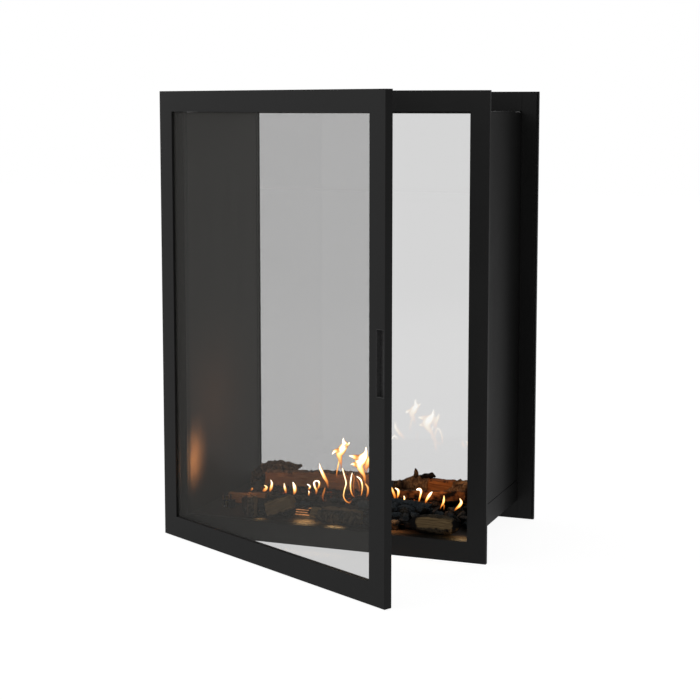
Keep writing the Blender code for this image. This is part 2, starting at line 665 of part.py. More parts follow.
LOG_ROUGHNESS_SHARE = 0.07  # largest dent, as a share of the radius
LOG_BOW_SHARE = 0.5         # how much of a bend lies on each side of the line between the ends
STUMP_PLACE = (-0.791, 0.431)
STUMP_RADIUS = 0.0110
STUMP_HEIGHT = 0.034
STUMP_TAPER_SHARE = 0.85
STUB_RADIUS = 0.004
STUB_SHARES = (0.28, 0.42)
STUB_TAPER_SHARE = 0.5


def on_bed(bed, across, deep):
    """The point at two shares of a bed. Across the burner and the floor in front of it, one is
    the burner's end; beside the burner, it is the liner."""
    middle, reach = {"left_floor": (-BURNER_END, -BURNER_END_ROOM),
                     "right_floor": (BURNER_END, BURNER_END_ROOM)}.get(bed, (0, BURNER_END))
    front, back = BURNER_FRONT, BURNER_BACK
    if bed == "front_floor":
        front, back = PANEL_FRONT, BURNER_FRONT
    return middle + across * reach, front + deep * (back - front)


def log_shape(start, end, radius, seat, bend_share, seed):
    """A bar with dents, a slight sideways bend and tapered ends. Its lowest side is flat on its
    seat, and no part of it stands out of its radius."""
    rng = random.Random(seed)
    start, end = Vector(start), Vector(end)
    along = (end - start).normalized()
    side = Vector((along.y, -along.x))
    length = (end - start).length
    shape = bmesh.new()
    rings = []
    dents = [1 - LOG_ROUGHNESS_SHARE * rng.random() for _ in range(LOG_SIDES)]
    for i in range(LOG_RINGS):
        t = i / (LOG_RINGS - 1)
        bow = bend_share * radius * (math.sin(HALF_TURN * t) - LOG_BOW_SHARE)
        middle = start + along * (length * t) + side * bow
        ring = []
        for k in range(LOG_SIDES):
            angle = 2 * HALF_TURN * k / LOG_SIDES
            dent = dents[k] - LOG_ROUGHNESS_SHARE * rng.random()
            across = math.cos(angle) * radius * dent * (1 - abs(bend_share) * LOG_BOW_SHARE)
            up = max(math.sin(angle) * radius * dent, LOG_ROUGHNESS_SHARE * radius - radius)
            point = middle + side * across
            ring.append(shape.verts.new((point.x, point.y, seat + up)))
        rings.append(ring)
    low = min(v.co.z for v in shape.verts)
    for ring in rings:
        ring[LOG_SIDES * 3 // 4].co.z = low
    for lower, upper in zip(rings, rings[1:]):
        for k in range(LOG_SIDES):
            n = (k + 1) % LOG_SIDES
            shape.faces.new((lower[k], lower[n], upper[n], upper[k]))
    shape.faces.new(rings[0][::-1])
    shape.faces.new(rings[-1])
    bmesh.ops.recalc_face_normals(shape, faces=shape.faces[:])
    return shape, low


def logs(wood, char):
    """Artificial logs laid on the burner plate and on the floor around the burner."""
    for name, (bed, start_shares, end_shares, share, bend, seed) in LOGS.items():
        start, end = on_bed(bed, *start_shares), on_bed(bed, *end_shares)
        radius = share * LOG_RADIUS
        rest = LOG_BURNER if bed == "burner" else LOG_FLOOR
        shape, low = log_shape(start, end, radius, 0.0, bend, seed)
        bmesh.ops.translate(shape, verts=shape.verts[:], vec=(0, 0, rest - low))
        surface = char if "charcoal" in name else wood
        piece = add_piece(name, shape, surface)
        if name == "bark_log_right":
            for share in STUB_SHARES:
                foot = Vector(start).lerp(Vector(end), share)
                twig = rod(STUB_RADIUS, (foot.x, foot.y, rest + radius),
                           (foot.x + STUB_RADIUS, foot.y, rest + 2 * radius + STUB_RADIUS),
                           6, STUB_RADIUS * STUB_TAPER_SHARE)
                carve(piece, [twig], "UNION")
    x, y = on_bed("front_floor", *STUMP_PLACE)
    stump = rod(STUMP_RADIUS, (x, y, LOG_FLOOR), (x, y, LOG_FLOOR + STUMP_HEIGHT), COARSE,
                STUMP_RADIUS * STUMP_TAPER_SHARE)
    add_piece("stump_front", stump, wood)


# Strip of glowing granules over the flame ports, between the logs
EMBER_START = (-0.911, 0.234)
EMBER_END = (0.333, 0.356)
EMBER_THICKNESS = 0.0045
EMBER_GRAIN_SHARE = 0.3     # how much the grains vary, as a share of the thickness
EMBER_RIM_SHARE = 0.4       # how thick the rim is, as a share of the thickness
EMBER_COLUMNS = 28
EMBER_ROWS = 4


def ember_bed(char):
    """A strip of ceramic granules: a flat underside and an uneven top that thins at its rim."""
    rng = random.Random(21)
    shape = bmesh.new()
    tops, bases = [], []
    left, front = on_bed("burner", *EMBER_START)
    right, back = on_bed("burner", *EMBER_END)
    for i in range(EMBER_COLUMNS + 1):
        x = left + (right - left) * i / EMBER_COLUMNS
        for j in range(EMBER_ROWS + 1):
            y = front + (back - front) * j / EMBER_ROWS
            rim = i in (0, EMBER_COLUMNS) or j in (0, EMBER_ROWS)
            height = EMBER_THICKNESS * (1 + EMBER_GRAIN_SHARE * rng.uniform(-1, 1))
            height *= EMBER_RIM_SHARE if rim else 1
            bases.append(shape.verts.new((x, y, LOG_BURNER)))
            tops.append(shape.verts.new((x, y, LOG_BURNER + height)))
    rows = EMBER_ROWS + 1
    for i in range(EMBER_COLUMNS):
        for j in range(EMBER_ROWS):
            a, b = i * rows + j, (i + 1) * rows + j
            shape.faces.new((tops[a], tops[b], tops[b + 1], tops[a + 1]))
            shape.faces.new((bases[a], bases[a + 1], bases[b + 1], bases[b]))
    rim = [i * rows for i in range(EMBER_COLUMNS + 1)]
    rim += [EMBER_COLUMNS * rows + j for j in range(1, rows)]
    rim += [i * rows + EMBER_ROWS for i in range(EMBER_COLUMNS - 1, -1, -1)]
    rim += [j for j in range(EMBER_ROWS - 1, 0, -1)]
    for a, b in zip(rim, rim[1:] + rim[:1]):
        shape.faces.new((bases[a], bases[b], tops[b], tops[a]))
    bmesh.ops.recalc_face_normals(shape, faces=shape.faces[:])
    add_piece("ember_bed", shape, char)


def pivot_lugs(steel):
    """Weld-on pivots: a plate let into the front frame and a round-nosed lug out to the axis."""
    reach = PIVOT_INSET + DOOR_GAP
    nose = [(-LUG_RADIUS * math.cos(HALF_TURN * k / COARSE),
             -LUG_RADIUS * math.sin(HALF_TURN * k / COARSE)) for k in range(COARSE + 1)]
    outline = nose + [(LUG_RADIUS, reach), (LUG_PLATE_WIDTH - LUG_RADIUS, reach),
                      (LUG_PLATE_WIDTH - LUG_RADIUS, reach + LUG_PLATE_SHEET),
                      (-LUG_RADIUS, reach + LUG_PLATE_SHEET)]
    for name, z in zip(("lower_pivot_lug", "upper_pivot_lug"), pivot_heights()):
        low, high = z - LUG_HEIGHT / 2, z + LUG_HEIGHT / 2
        piece = add_piece(name, prism(outline, low, high), steel, at=(PIVOT_X, PIVOT_Y, 0))
        carve(piece, [rod(PIN_RADIUS + PIN_CLEARANCE, (0, 0, low - OVERRUN),
                          (0, 0, high + OVERRUN))])


def door_axis():
    """Empty on the pivots' line. Turning it swings everything that it carries."""
    axis = bpy.data.objects.new("door_axis", None)
    bpy.context.collection.objects.link(axis)
    axis.location = (PIVOT_X, PIVOT_Y, 0)
    return axis


def pocket_bounds(z):
    """Lowest and highest point of the leaf's pocket around the lug at a height."""
    return z - LUG_HEIGHT / 2 - 2 * GAP, z + LUG_HEIGHT / 2 + GAP


def rope_bounds():
    """Outer rectangle of the rope's groove in the leaf's back."""
    return grown(DOOR_INNER, GLASS_SEAT + GAP + ROPE_OFFSET + ROPE_WIDTH + 2 * GAP)


def pull_span(extra):
    """Corners of the finger pull's cup, made larger by an amount on each side but the front."""
    right = DOOR_WIDTH / 2 - PULL_EDGE_MARGIN
    left = right - PULL_WIDTH - 2 * PULL_SHEET
    half = PULL_LENGTH / 2 + PULL_SHEET
    return ((left - extra, DOOR_FRONT, PULL_HEIGHT - half - extra),
            (right + extra, DOOR_FRONT + PULL_DEPTH + PULL_SHEET + extra,
             PULL_HEIGHT + half + extra))


def magnet_spans(extra):
    """Corners of each magnet, made larger by an amount inside the leaf."""
    (left, _, _), (right, _, _) = pull_span(0)
    middle = (left + right) / 2
    for share in MAGNET_HEIGHT_SHARES:
        z = DOOR_LIFT + DOOR_HEIGHT * share
        yield ((middle - MAGNET_WIDTH / 2 - extra, DOOR_BACK - MAGNET_DEPTH - extra,
                z - MAGNET_LENGTH / 2 - extra),
               (middle + MAGNET_WIDTH / 2 + extra, DOOR_BACK, z + MAGNET_LENGTH / 2 + extra))


def opened_back(corners):
    """A cutting shape through the leaf's back, over two corners."""
    low, (x, y, z) = corners
    return span(low, (x, y + OVERRUN, z))


def door_frame(black, axis):
    """The leaf: a deep frame rebated for its pane, grooved for the rope, with pockets for the
    pivots, the finger pull and the magnets."""
    ring = ring_plate(DOOR_OUTER, DOOR_INNER, DOOR_FRONT, DOOR_BACK, FRAME_EDGE)
    leaf = add_piece("door_frame", ring, black)
    left, right, bottom, top = grown(DOOR_INNER, GLASS_SEAT + GAP)
    seat = span((left, DOOR_FRONT + LIP, bottom), (right, DOOR_BACK + OVERRUN, top))
    outer = rope_bounds()
    inner = grown(outer, -ROPE_WIDTH - 2 * GAP)
    groove = ring_plate(outer, inner, DOOR_BACK - ROPE_GROOVE_DEPTH, DOOR_BACK + OVERRUN)
    low, high = pull_span(GAP)
    pull = span((low[0], low[1] - OVERRUN, low[2]), high)
    magnets = [opened_back(corners) for corners in magnet_spans(GAP)]
    edge = -DOOR_WIDTH / 2
    pockets, bores = [], []
    for z in pivot_heights():
        floor, roof = pocket_bounds(z)
        pockets.append(span((edge - OVERRUN, DOOR_BACK - POCKET_SIZE, floor),
                            (edge + POCKET_SIZE, DOOR_BACK + OVERRUN, roof)))
        bores.append(rod(PIN_RADIUS + GAP, (PIVOT_X, PIVOT_Y, floor - PIN_GRIP - GAP),
                         (PIVOT_X, PIVOT_Y, roof + PIN_GRIP + GAP)))
    carve(leaf, [seat, groove, merged([pull] + magnets), merged(pockets), merged(bores)])
    hang(leaf, axis)
    return leaf


def hang(piece, axis):
    """Gives a piece that was made in place to the door's axis."""
    piece.parent = axis
    piece.location = piece.location - axis.location


def door_glazing(glass, fibre, black, axis):
    """Pane, gasket and retaining frame in the leaf's rebate, and the rope in its groove."""
    bounds = grown(DOOR_INNER, GLASS_SEAT)
    front = DOOR_FRONT + LIP + GAP
    slot_front = front + SEAL_THICKNESS
    back = slot_front + GLASS_THICKNESS + 2 * GAP + SEAL_THICKNESS
    gasket("door_glass_gasket", bounds, front, slot_front, back, fibre, axis)
    pane("door_glass", bounds, slot_front, glass, axis)
    retainer = ring_plate(bounds, grown(bounds, -SEAL_WIDTH), back + GAP,
                          back + GAP + RETAINER_DEPTH)
    add_piece("door_glass_retainer", retainer, black, carrier=axis)
    outer = grown(rope_bounds(), -GAP)
    rope = ring_plate(outer, grown(outer, -ROPE_WIDTH), DOOR_BACK - ROPE_GROOVE_DEPTH + GAP,
                      DOOR_BACK + ROPE_PROUD, ROPE_PROUD)
    add_piece("door_rope", rope, fibre, carrier=axis)


def door_hardware(black, steel, axis):
    """The finger pull's pressed cup, the catch magnets and the pivot pins."""
    low, high = pull_span(0)
    cup = add_piece("finger_pull", span(low, high), black)
    hollow = span((low[0] + PULL_SHEET, low[1] - OVERRUN, low[2] + PULL_SHEET),
                  (high[0] - PULL_SHEET, high[1] - PULL_SHEET, high[2] - PULL_SHEET))
    carve(cup, [hollow])
    hang(cup, axis)
    for name, corners in zip(("lower_magnet", "upper_magnet"), magnet_spans(0)):
        add_piece(name, span(*corners), steel, carrier=axis)
    for name, z in zip(("lower_pivot_pin", "upper_pivot_pin"), pivot_heights()):
        floor, roof = pocket_bounds(z)
        pin = rod(PIN_RADIUS, (0, 0, floor - PIN_GRIP), (0, 0, roof + PIN_GRIP))
        add_piece(name, pin, steel, at=(PIVOT_X, PIVOT_Y, 0), carrier=axis, smooth=True)


def build():
    clear_scene()
    black = finish("satin black steel", (0.012, 0.012, 0.012), 0.45, 0.0)
    dark = finish("dark chamber steel", (0.035, 0.032, 0.029), 0.5, 0.0)
    steel = finish("bright steel", (0.45, 0.44, 0.42), 0.35, 1.0)
    brass = finish("brass", (0.60, 0.42, 0.16), 0.35, 1.0)
    glass = finish("tinted ceramic glass", (0.60, 0.59, 0.57), 0.03, 0.0, 0.25)
    fibre = finish("black glass fibre", (0.02, 0.02, 0.02), 0.95)
    ceramic = finish("white ceramic", (0.80, 0.78, 0.72), 0.4)
    wood = finish("log bark", (0.10, 0.045, 0.02), 0.9)
    char = finish("charred log", (0.012, 0.011, 0.010), 0.95)
    front_frame(black)
    rear_frame(black)
    fixed_pane(glass, fibre)
    flanges(black)
    casing(black)
    liners(dark)
    flue_pipes(steel)
    floors(black, dark)
    feet(steel)
    burner(dark, steel)
    gas_inlet(steel, brass)
    pilot(steel, ceramic, brass)
    logs(wood, char)
    ember_bed(char)
    pivot_lugs(steel)
    axis = door_axis()
    door_frame(black, axis)
    door_glazing(glass, fibre, black, axis)
    door_hardware(black, steel, axis)
    axis.rotation_euler.z = -math.radians(DOOR_OPEN_DEGREES)
    bpy.context.view_layer.update()


build()
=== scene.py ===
"""Tall double-sided gas fireplace with its glazed door standing open and a log fire burning."""

import math

import bpy
import numpy as np
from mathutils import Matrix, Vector


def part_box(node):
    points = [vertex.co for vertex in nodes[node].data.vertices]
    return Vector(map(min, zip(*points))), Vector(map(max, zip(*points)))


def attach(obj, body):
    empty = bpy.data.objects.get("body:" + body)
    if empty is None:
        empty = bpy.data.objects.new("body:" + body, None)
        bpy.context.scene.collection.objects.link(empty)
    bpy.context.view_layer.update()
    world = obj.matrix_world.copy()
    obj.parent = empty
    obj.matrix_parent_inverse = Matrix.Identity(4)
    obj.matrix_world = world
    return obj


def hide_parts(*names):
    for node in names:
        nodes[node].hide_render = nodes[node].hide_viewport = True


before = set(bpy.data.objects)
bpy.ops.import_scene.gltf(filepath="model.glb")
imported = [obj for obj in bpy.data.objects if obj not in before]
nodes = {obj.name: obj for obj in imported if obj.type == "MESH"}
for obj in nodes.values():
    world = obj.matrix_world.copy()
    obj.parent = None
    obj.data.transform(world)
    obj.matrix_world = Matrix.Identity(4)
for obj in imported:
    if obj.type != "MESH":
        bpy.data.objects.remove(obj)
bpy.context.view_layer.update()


# Viewpoint: a little right of the fireplace and almost level with its top, looking gently down, so
# that the uprights stay nearly parallel and the open leaf covers half of the opening.
focal_px, picture_px, sensor_mm = 1615.6, 700, 36
pitch_down, turn_left = 6.429, 20.835
camera = bpy.data.objects.new("camera", bpy.data.cameras.new("camera"))
bpy.context.collection.objects.link(camera)
bpy.context.scene.camera = camera
camera.data.sensor_width = sensor_mm
camera.data.lens = focal_px * sensor_mm / picture_px
camera.data.shift_y = -0.09
camera.location = (1.2913, -3.2300, 0.9696)
camera.rotation_euler = (math.radians(90 - pitch_down), 0, math.radians(turn_left))


# Studio: a plain pale floor that runs out to a white surround, with soft panels of light. The
# floor is matt painted board, so the object's shadow on it is faint.
def colour(code):
    """An sRGB hex colour as linear red, green, blue and one, by the sRGB transfer curve."""
    part = np.array([int(code[i:i + 2], 16) for i in (1, 3, 5)]) / 255
    return (*np.where(part <= 0.04045, part / 12.92, ((part + 0.055) / 1.055) ** 2.4), 1.0)


def fill(target, wires):
    """Fills a node's inputs with values or with other nodes' outputs."""
    for key, value in wires.items():
        if isinstance(value, bpy.types.NodeSocket):
            target.id_data.links.new(value, target.inputs[key])
        else:
            target.inputs[key].default_value = value


def node(tree, kind, wires=None, stops=(), **settings):
    """Adds a node, sets its properties and its ramp's stops, and fills its inputs."""
    made = tree.nodes.new(kind)
    for key, value in settings.items():
        setattr(made, key, value)
    fill(made, wires or {})
    for i, (place, shade) in enumerate(stops):
        stop = made.color_ramp.elements[i] if i < 2 else made.color_ramp.elements.new(place)
        stop.position, stop.color = place, shade
    return made


def finish(name):
    """A new material, its node tree and its Principled shader."""
    made = bpy.data.materials.new(name)
    made.use_nodes = True
    return made, made.node_tree, made.node_tree.nodes["Principled BSDF"]


def grid(across, along):
    """Two arrays that run over a grid, each from its (first, last, count)."""
    return np.meshgrid(np.linspace(*across), np.linspace(*along), indexing="ij")


def sheet_faces(rows, columns, closed=False):
    """Quads between neighbours on a grid of points, joined round across the columns if closed."""
    across = columns if closed else columns - 1
    i, j = np.meshgrid(np.arange(rows - 1), np.arange(across), indexing="ij")
    n = (j + 1) % columns
    quads = (i * columns + j, i * columns + n, (i + 1) * columns + n, (i + 1) * columns + j)
    return np.stack([q.ravel() for q in quads], axis=1)


def mesh_piece(name, points, faces, surface, uv=None, marks=None, smooth=True):
    """An object at the origin from arrays of points and faces, with a UV map and float marks."""
    mesh = bpy.data.meshes.new(name)
    mesh.from_pydata(points.reshape(-1, 3), [], faces)
    mesh.materials.append(surface)
    if uv is not None:
        layer = mesh.uv_layers.new(name="UVMap")
        corners = np.zeros(len(mesh.loops), np.int32)
        mesh.loops.foreach_get("vertex_index", corners)
        layer.data.foreach_set("uv", uv.reshape(-1, 2)[corners].astype(np.float32).ravel())
    for key, values in (marks or {}).items():
        mark = mesh.attributes.new(key, "FLOAT", "POINT")
        mark.data.foreach_set("value", np.asarray(values, np.float32).ravel())
    if smooth:
        mesh.shade_smooth()
    piece = bpy.data.objects.new(name, mesh)
    bpy.context.collection.objects.link(piece)
    return piece


board, tree, shader = finish("matt white board")
seen = node(tree, "ShaderNodeLightPath").outputs["Is Camera Ray"]
glow = node(tree, "ShaderNodeMix", {0: seen, 2: 0.30, 3: 0.94}, data_type="FLOAT")
fill(shader, {"Base Color": colour("#8C8C8C"), "Roughness": 0.9, "Specular IOR Level": 0.0,
              "Emission Color": (1, 1, 1, 1), "Emission Strength": glow.outputs[0]})
floor_reach, floor_level, steps = 14.0, -0.0004, 9
u, v = grid((-floor_reach, floor_reach, steps), (-floor_reach, floor_reach, steps))
floor = mesh_piece("studio_floor", np.stack([u, v, u * 0 + floor_level], axis=-1),
                   sheet_faces(steps, steps)[:, ::-1], board, smooth=False)

# A black flag beside the far edge, as photographers set one, darkens the casing's rear half.
matt_black, tree, shader = finish("matt black flag")
fill(shader, {"Base Color": (0, 0, 0, 1), "Specular IOR Level": 0.0})
flag_left, flag_right, flag_depth, flag_height = 0.374, 0.399, 0.402, 1.0
u, v = grid((flag_left, flag_right, 5), (0.0, flag_height, 9))
flag = mesh_piece("black_flag", np.stack([u, u * 0 + flag_depth, v], axis=-1), sheet_faces(5, 9),
                  matt_black, smooth=False)
flag.visible_camera = flag.visible_diffuse = flag.visible_transmission = False
flag.visible_shadow = flag.visible_volume_scatter = False

world = bpy.data.worlds.new("studio")
bpy.context.scene.world = world
world.use_nodes = True
tree = world.node_tree
seen = node(tree, "ShaderNodeLightPath").outputs["Is Camera Ray"]
way = node(tree, "ShaderNodeTexCoord").outputs["Generated"]
toward = node(tree, "ShaderNodeVectorMath", {0: way, 1: (-0.8, -0.6, 0.0)},
              operation="DOT_PRODUCT").outputs["Value"]
wall = node(tree, "ShaderNodeMapRange", {0: toward, 1: -0.4, 2: 1.0, 3: 0.13, 4: 0.58},
            interpolation_type="SMOOTHSTEP").outputs[0]
level = node(tree, "ShaderNodeMix", {0: seen, 2: wall, 3: 1.0}, data_type="FLOAT").outputs[0]
fill(tree.nodes["Background"], {"Strength": level, "Color": (1, 1, 1, 1)})


def area_lamp(name, place, aim, size, power):
    """A square lamp at a place, turned to shine at its aim, that the camera doesn't see."""
    lamp = bpy.data.lights.new(name, "AREA")
    lamp.size, lamp.energy = size, power
    holder = bpy.data.objects.new(name, lamp)
    bpy.context.collection.objects.link(holder)
    holder.location = place
    holder.rotation_euler = (Vector(aim) - Vector(place)).to_track_quat("-Z", "Y").to_euler()
    holder.visible_camera = False
    return holder


area_lamp("left_softbox", (-2.6, -2.6, 2.6), (0, 0.1, 0.5), 2.0, 8)
area_lamp("rear_softbox", (0.4, 3.4, 2.4), (0, 0.3, 0.5), 2.4, 16)
bpy.context.scene.view_settings.view_transform = "Standard"


# Frames, flanges, casing and door leaf: folded and welded sheet steel, sprayed with satin black
# powder and baked. The powder flows out to a fine orange peel that softens every reflection.
def coat(surface, *names):
    """Gives CAD pieces one finish in place of their first one."""
    for name in names:
        nodes[name].data.materials.clear()
        nodes[name].data.materials.append(surface)


powder_coat, tree, shader = finish("satin black powder coat")
place = node(tree, "ShaderNodeTexCoord").outputs["Object"]
cloud = node(tree, "ShaderNodeTexNoise", {"Vector": place, "Scale": 1 / 0.22, "Detail": 4.0})
# The real peel is 2 mm wide, finer than a pixel, so it is drawn at 7 mm.
peel = node(tree, "ShaderNodeTexNoise", {"Vector": place, "Scale": 1 / 0.007, "Detail": 1.0})
shade = node(tree, "ShaderNodeValToRGB", {0: cloud.outputs["Fac"]},
             [(0.35, colour("#141414")), (0.7, colour("#191919"))])
gloss = node(tree, "ShaderNodeMapRange", {0: cloud.outputs["Fac"], 1: 0.3, 2: 0.7, 3: 0.40,
                                          4: 0.50})
relief = node(tree, "ShaderNodeBump", {"Strength": 0.10, "Distance": 0.0006,
                                       "Height": peel.outputs["Fac"]})
fill(shader, {"Base Color": shade.outputs[0], "Roughness": gloss.outputs[0],
              "Normal": relief.outputs[0], "Specular IOR Level": 0.42})
coat(powder_coat, "front_frame", "rear_frame", "front_flange", "rear_flange_top",
     "rear_flange_lower", "left_skirt", "right_skirt", "left_side_panel", "right_side_panel",
     "top_panel", "base_pan", "door_frame", "door_glass_retainer", "lower_pivot_lug",
     "upper_pivot_lug")


# Chamber: the liners and the ceiling are thin steel in heat-proof satin paint, which heat and soot
# have turned a dark warm grey, darker low down where the fire licks it. The paint's lighter top is
# painted light, standing in for light that the lamps don't bring up there.
heat_paint, tree, shader = finish("heat-proof chamber paint")
place = node(tree, "ShaderNodeTexCoord").outputs["Object"]
height = node(tree, "ShaderNodeSeparateXYZ", {0: place}).outputs["Z"]
streak_place = node(tree, "ShaderNodeMapping", {"Vector": place, "Scale": (1, 1, 0.12)})
streaks = node(tree, "ShaderNodeTexNoise", {"Vector": streak_place.outputs[0],
                                            "Scale": 1 / 0.035, "Detail": 5.0})
smoke = node(tree, "ShaderNodeTexNoise", {"Vector": place, "Scale": 1 / 0.16, "Detail": 3.0})
# Painted light: the grey climbs from soot-dark low down to a lighter top that makes up for the
# lamps.
up = node(tree, "ShaderNodeMapRange", {0: height, 1: 0.05, 2: 0.95})
drift = node(tree, "ShaderNodeMath", {0: smoke.outputs["Fac"], 1: 0.35}, operation="MULTIPLY")
level = node(tree, "ShaderNodeMath", {0: up.outputs[0], 1: drift.outputs[0]}, operation="ADD")
shade = node(tree, "ShaderNodeValToRGB", {0: level.outputs[0]},
             [(0.10, colour("#1E1C19")), (1.0, colour("#49453F"))])
veil = node(tree, "ShaderNodeMapRange", {0: streaks.outputs["Fac"], 3: 0.34, 4: 0.64})
soot = node(tree, "ShaderNodeMix", {0: veil.outputs[0], 6: shade.outputs[0],
                                    7: colour("#1C1A18")}, data_type="RGBA", clamp_factor=True)
gloss = node(tree, "ShaderNodeMapRange", {0: streaks.outputs["Fac"], 1: 0.3, 2: 0.7, 3: 0.38,
                                          4: 0.42})
relief = node(tree, "ShaderNodeBump", {"Strength": 0.03, "Distance": 0.0006,
                                       "Height": streaks.outputs["Fac"]})
fill(shader, {"Base Color": soot.outputs[2], "Roughness": gloss.outputs[0],
              "Normal": relief.outputs[0], "Specular IOR Level": 0.35})
coat(heat_paint, "left_liner", "right_liner", "ceiling")


# Chamber floor and burner: the same painted steel, but under the logs it is black with soot and
# strewn with a little ash, so it shows almost nothing but the glow of the fire.
sooted_steel, tree, shader = finish("sooted painted steel")
place = node(tree, "ShaderNodeTexCoord").outputs["Object"]
soot = node(tree, "ShaderNodeTexNoise", {"Vector": place, "Scale": 1 / 0.04, "Detail": 5.0})
ash = node(tree, "ShaderNodeTexNoise", {"Vector": place, "Scale": 1 / 0.003, "Detail": 3.0})
shade = node(tree, "ShaderNodeValToRGB", {0: soot.outputs["Fac"]},
             [(0.3, colour("#161413")), (0.75, colour("#2C2824"))])
sprinkled = node(tree, "ShaderNodeMapRange", {0: ash.outputs["Fac"], 1: 0.70, 2: 0.82, 4: 0.35})
dusty = node(tree, "ShaderNodeMix", {0: sprinkled.outputs[0], 6: shade.outputs[0],
                                     7: colour("#4A4642")}, data_type="RGBA", clamp_factor=True)
relief = node(tree, "ShaderNodeBump", {"Strength": 0.08, "Distance": 0.0006,
                                       "Height": ash.outputs["Fac"]})
fill(shader, {"Base Color": dusty.outputs[2], "Roughness": 0.55, "Normal": relief.outputs[0],
              "Specular IOR Level": 0.15})
coat(sooted_steel, "floor_plate", "burner_box", "burner_plate")


# Panes: 4 mm heat-proof ceramic glass, drawn flat and faintly tinted. The fixed pane carries a
# clear heat-reflecting coat, so the flames show again in it, and the door's is plain with a thin
# film of smoke that turns black metal behind it a shade milky.
for name, film, index, mirror, cover in (("rear_glass", "#030303", 2.0, 1.0, 0.20),
                                         ("door_glass", "#747370", 1.33, 0.1, 0.238)):
    pane, tree, shader = finish("tinted ceramic glass " + name.replace("_", " "))
    fill(shader, {"Base Color": colour(film), "Roughness": 0.0, "IOR": index,
                  "Specular IOR Level": mirror, "Alpha": cover})
    coat(pane, name)


# Finger pull: a cup let into the free stile, pressed from thin sheet, with a fine tumbled surface
# that keeps the fingers from slipping. Its grey is lighter than the leaf's: painted light,
# standing in for the light that reaches down into the recess.
painted_light_cup_finish, tree, shader = finish("tumbled dark grey cup")
place = node(tree, "ShaderNodeTexCoord").outputs["Object"]
# The tumbled pits are 1 mm wide, finer than a pixel, so they are drawn at 4 mm.
pits = node(tree, "ShaderNodeTexNoise", {"Vector": place, "Scale": 1 / 0.004, "Detail": 2.0})
# Painted light: the cup's grey is lighter than the leaf's so that the shaded recess shows up.
shade = node(tree, "ShaderNodeValToRGB", {0: pits.outputs["Fac"]},
             [(0.3, colour("#4A4A4A")), (0.7, colour("#5C5C5C"))])
relief = node(tree, "ShaderNodeBump", {"Strength": 0.15, "Distance": 0.0004,
                                       "Height": pits.outputs["Fac"]})
fill(shader, {"Base Color": shade.outputs[0], "Roughness": 0.5, "Normal": relief.outputs[0]})
coat(painted_light_cup_finish, "finger_pull")


# Seals: black glass-fibre rope and tape, knitted on a circular machine, so the surface has fine
# slanting stitches and no gloss.
fibre, tree, shader = finish("knitted glass fibre")
place = node(tree, "ShaderNodeTexCoord").outputs["Object"]
stitch = node(tree, "ShaderNodeTexWave", {"Vector": place, "Scale": 1 / 0.0075,
                                          "Distortion": 1.5, "Detail": 1.0},
              bands_direction="DIAGONAL")
fuzz = node(tree, "ShaderNodeTexNoise", {"Vector": place, "Scale": 1 / 0.0012, "Detail": 3.0})
both = node(tree, "ShaderNodeMath", {0: stitch.outputs["Fac"], 1: fuzz.outputs["Fac"]},
            operation="MULTIPLY")
shade = node(tree, "ShaderNodeValToRGB", {0: both.outputs[0]},
             [(0.0, colour("#141414")), (0.8, colour("#3A3A38"))])
relief = node(tree, "ShaderNodeBump", {"Strength": 0.6, "Distance": 0.0008,
                                       "Height": both.outputs[0]})
fill(shader, {"Base Color": shade.outputs[0], "Roughness": 0.95, "Normal": relief.outputs[0]})
coat(fibre, "door_rope", "door_glass_gasket", "rear_glass_gasket")


# Flue stubs, feet, pins, magnets and gas tube: rolled or turned stainless steel, polished along
# one direction, so its highlight is drawn out across the fine lines.
bright_steel, tree, shader = finish("brushed stainless steel")
place = node(tree, "ShaderNodeTexCoord").outputs["Object"]
line_place = node(tree, "ShaderNodeMapping", {"Vector": place, "Scale": (1, 1, 24)})
lines = node(tree, "ShaderNodeTexNoise", {"Vector": line_place.outputs[0], "Scale": 1 / 0.02,
                                          "Detail": 4.0})
shade = node(tree, "ShaderNodeValToRGB", {0: lines.outputs["Fac"]},
             [(0.3, colour("#9A9894")), (0.7, colour("#BEBCB7"))])
gloss = node(tree, "ShaderNodeMapRange", {0: lines.outputs["Fac"], 1: 0.3, 2: 0.7, 3: 0.24,
                                          4: 0.38})
relief = node(tree, "ShaderNodeBump", {"Strength": 0.12, "Distance": 0.0003,
                                       "Height": lines.outputs["Fac"]})
fill(shader, {"Base Color": shade.outputs[0], "Roughness": gloss.outputs[0],
              "Normal": relief.outputs[0], "Metallic": 1.0})
coat(bright_steel, "flue_inner_pipe", "flue_outer_pipe", "levelling_foot_1", "levelling_foot_2",
     "levelling_foot_3", "levelling_foot_4", "gas_manifold", "gas_inlet_pipe", "lower_magnet",
     "upper_magnet", "lower_pivot_pin", "upper_pivot_pin")


# Pilot bracket and flame sensor: stainless steel that years of flame have blued and then blackened
# with soot, so that they all but vanish beside the logs.
blued_steel, tree, shader = finish("heat-blued steel")
place = node(tree, "ShaderNodeTexCoord").outputs["Object"]
bloom = node(tree, "ShaderNodeTexNoise", {"Vector": place, "Scale": 1 / 0.010, "Detail": 3.0})
shade = node(tree, "ShaderNodeValToRGB", {0: bloom.outputs["Fac"]},
             [(0.3, colour("#1F1C1B")), (0.7, colour("#3C3A40"))])
fill(shader, {"Base Color": shade.outputs[0], "Roughness": 0.5, "Metallic": 1.0})
coat(blued_steel, "pilot_bracket", "flame_sensor")


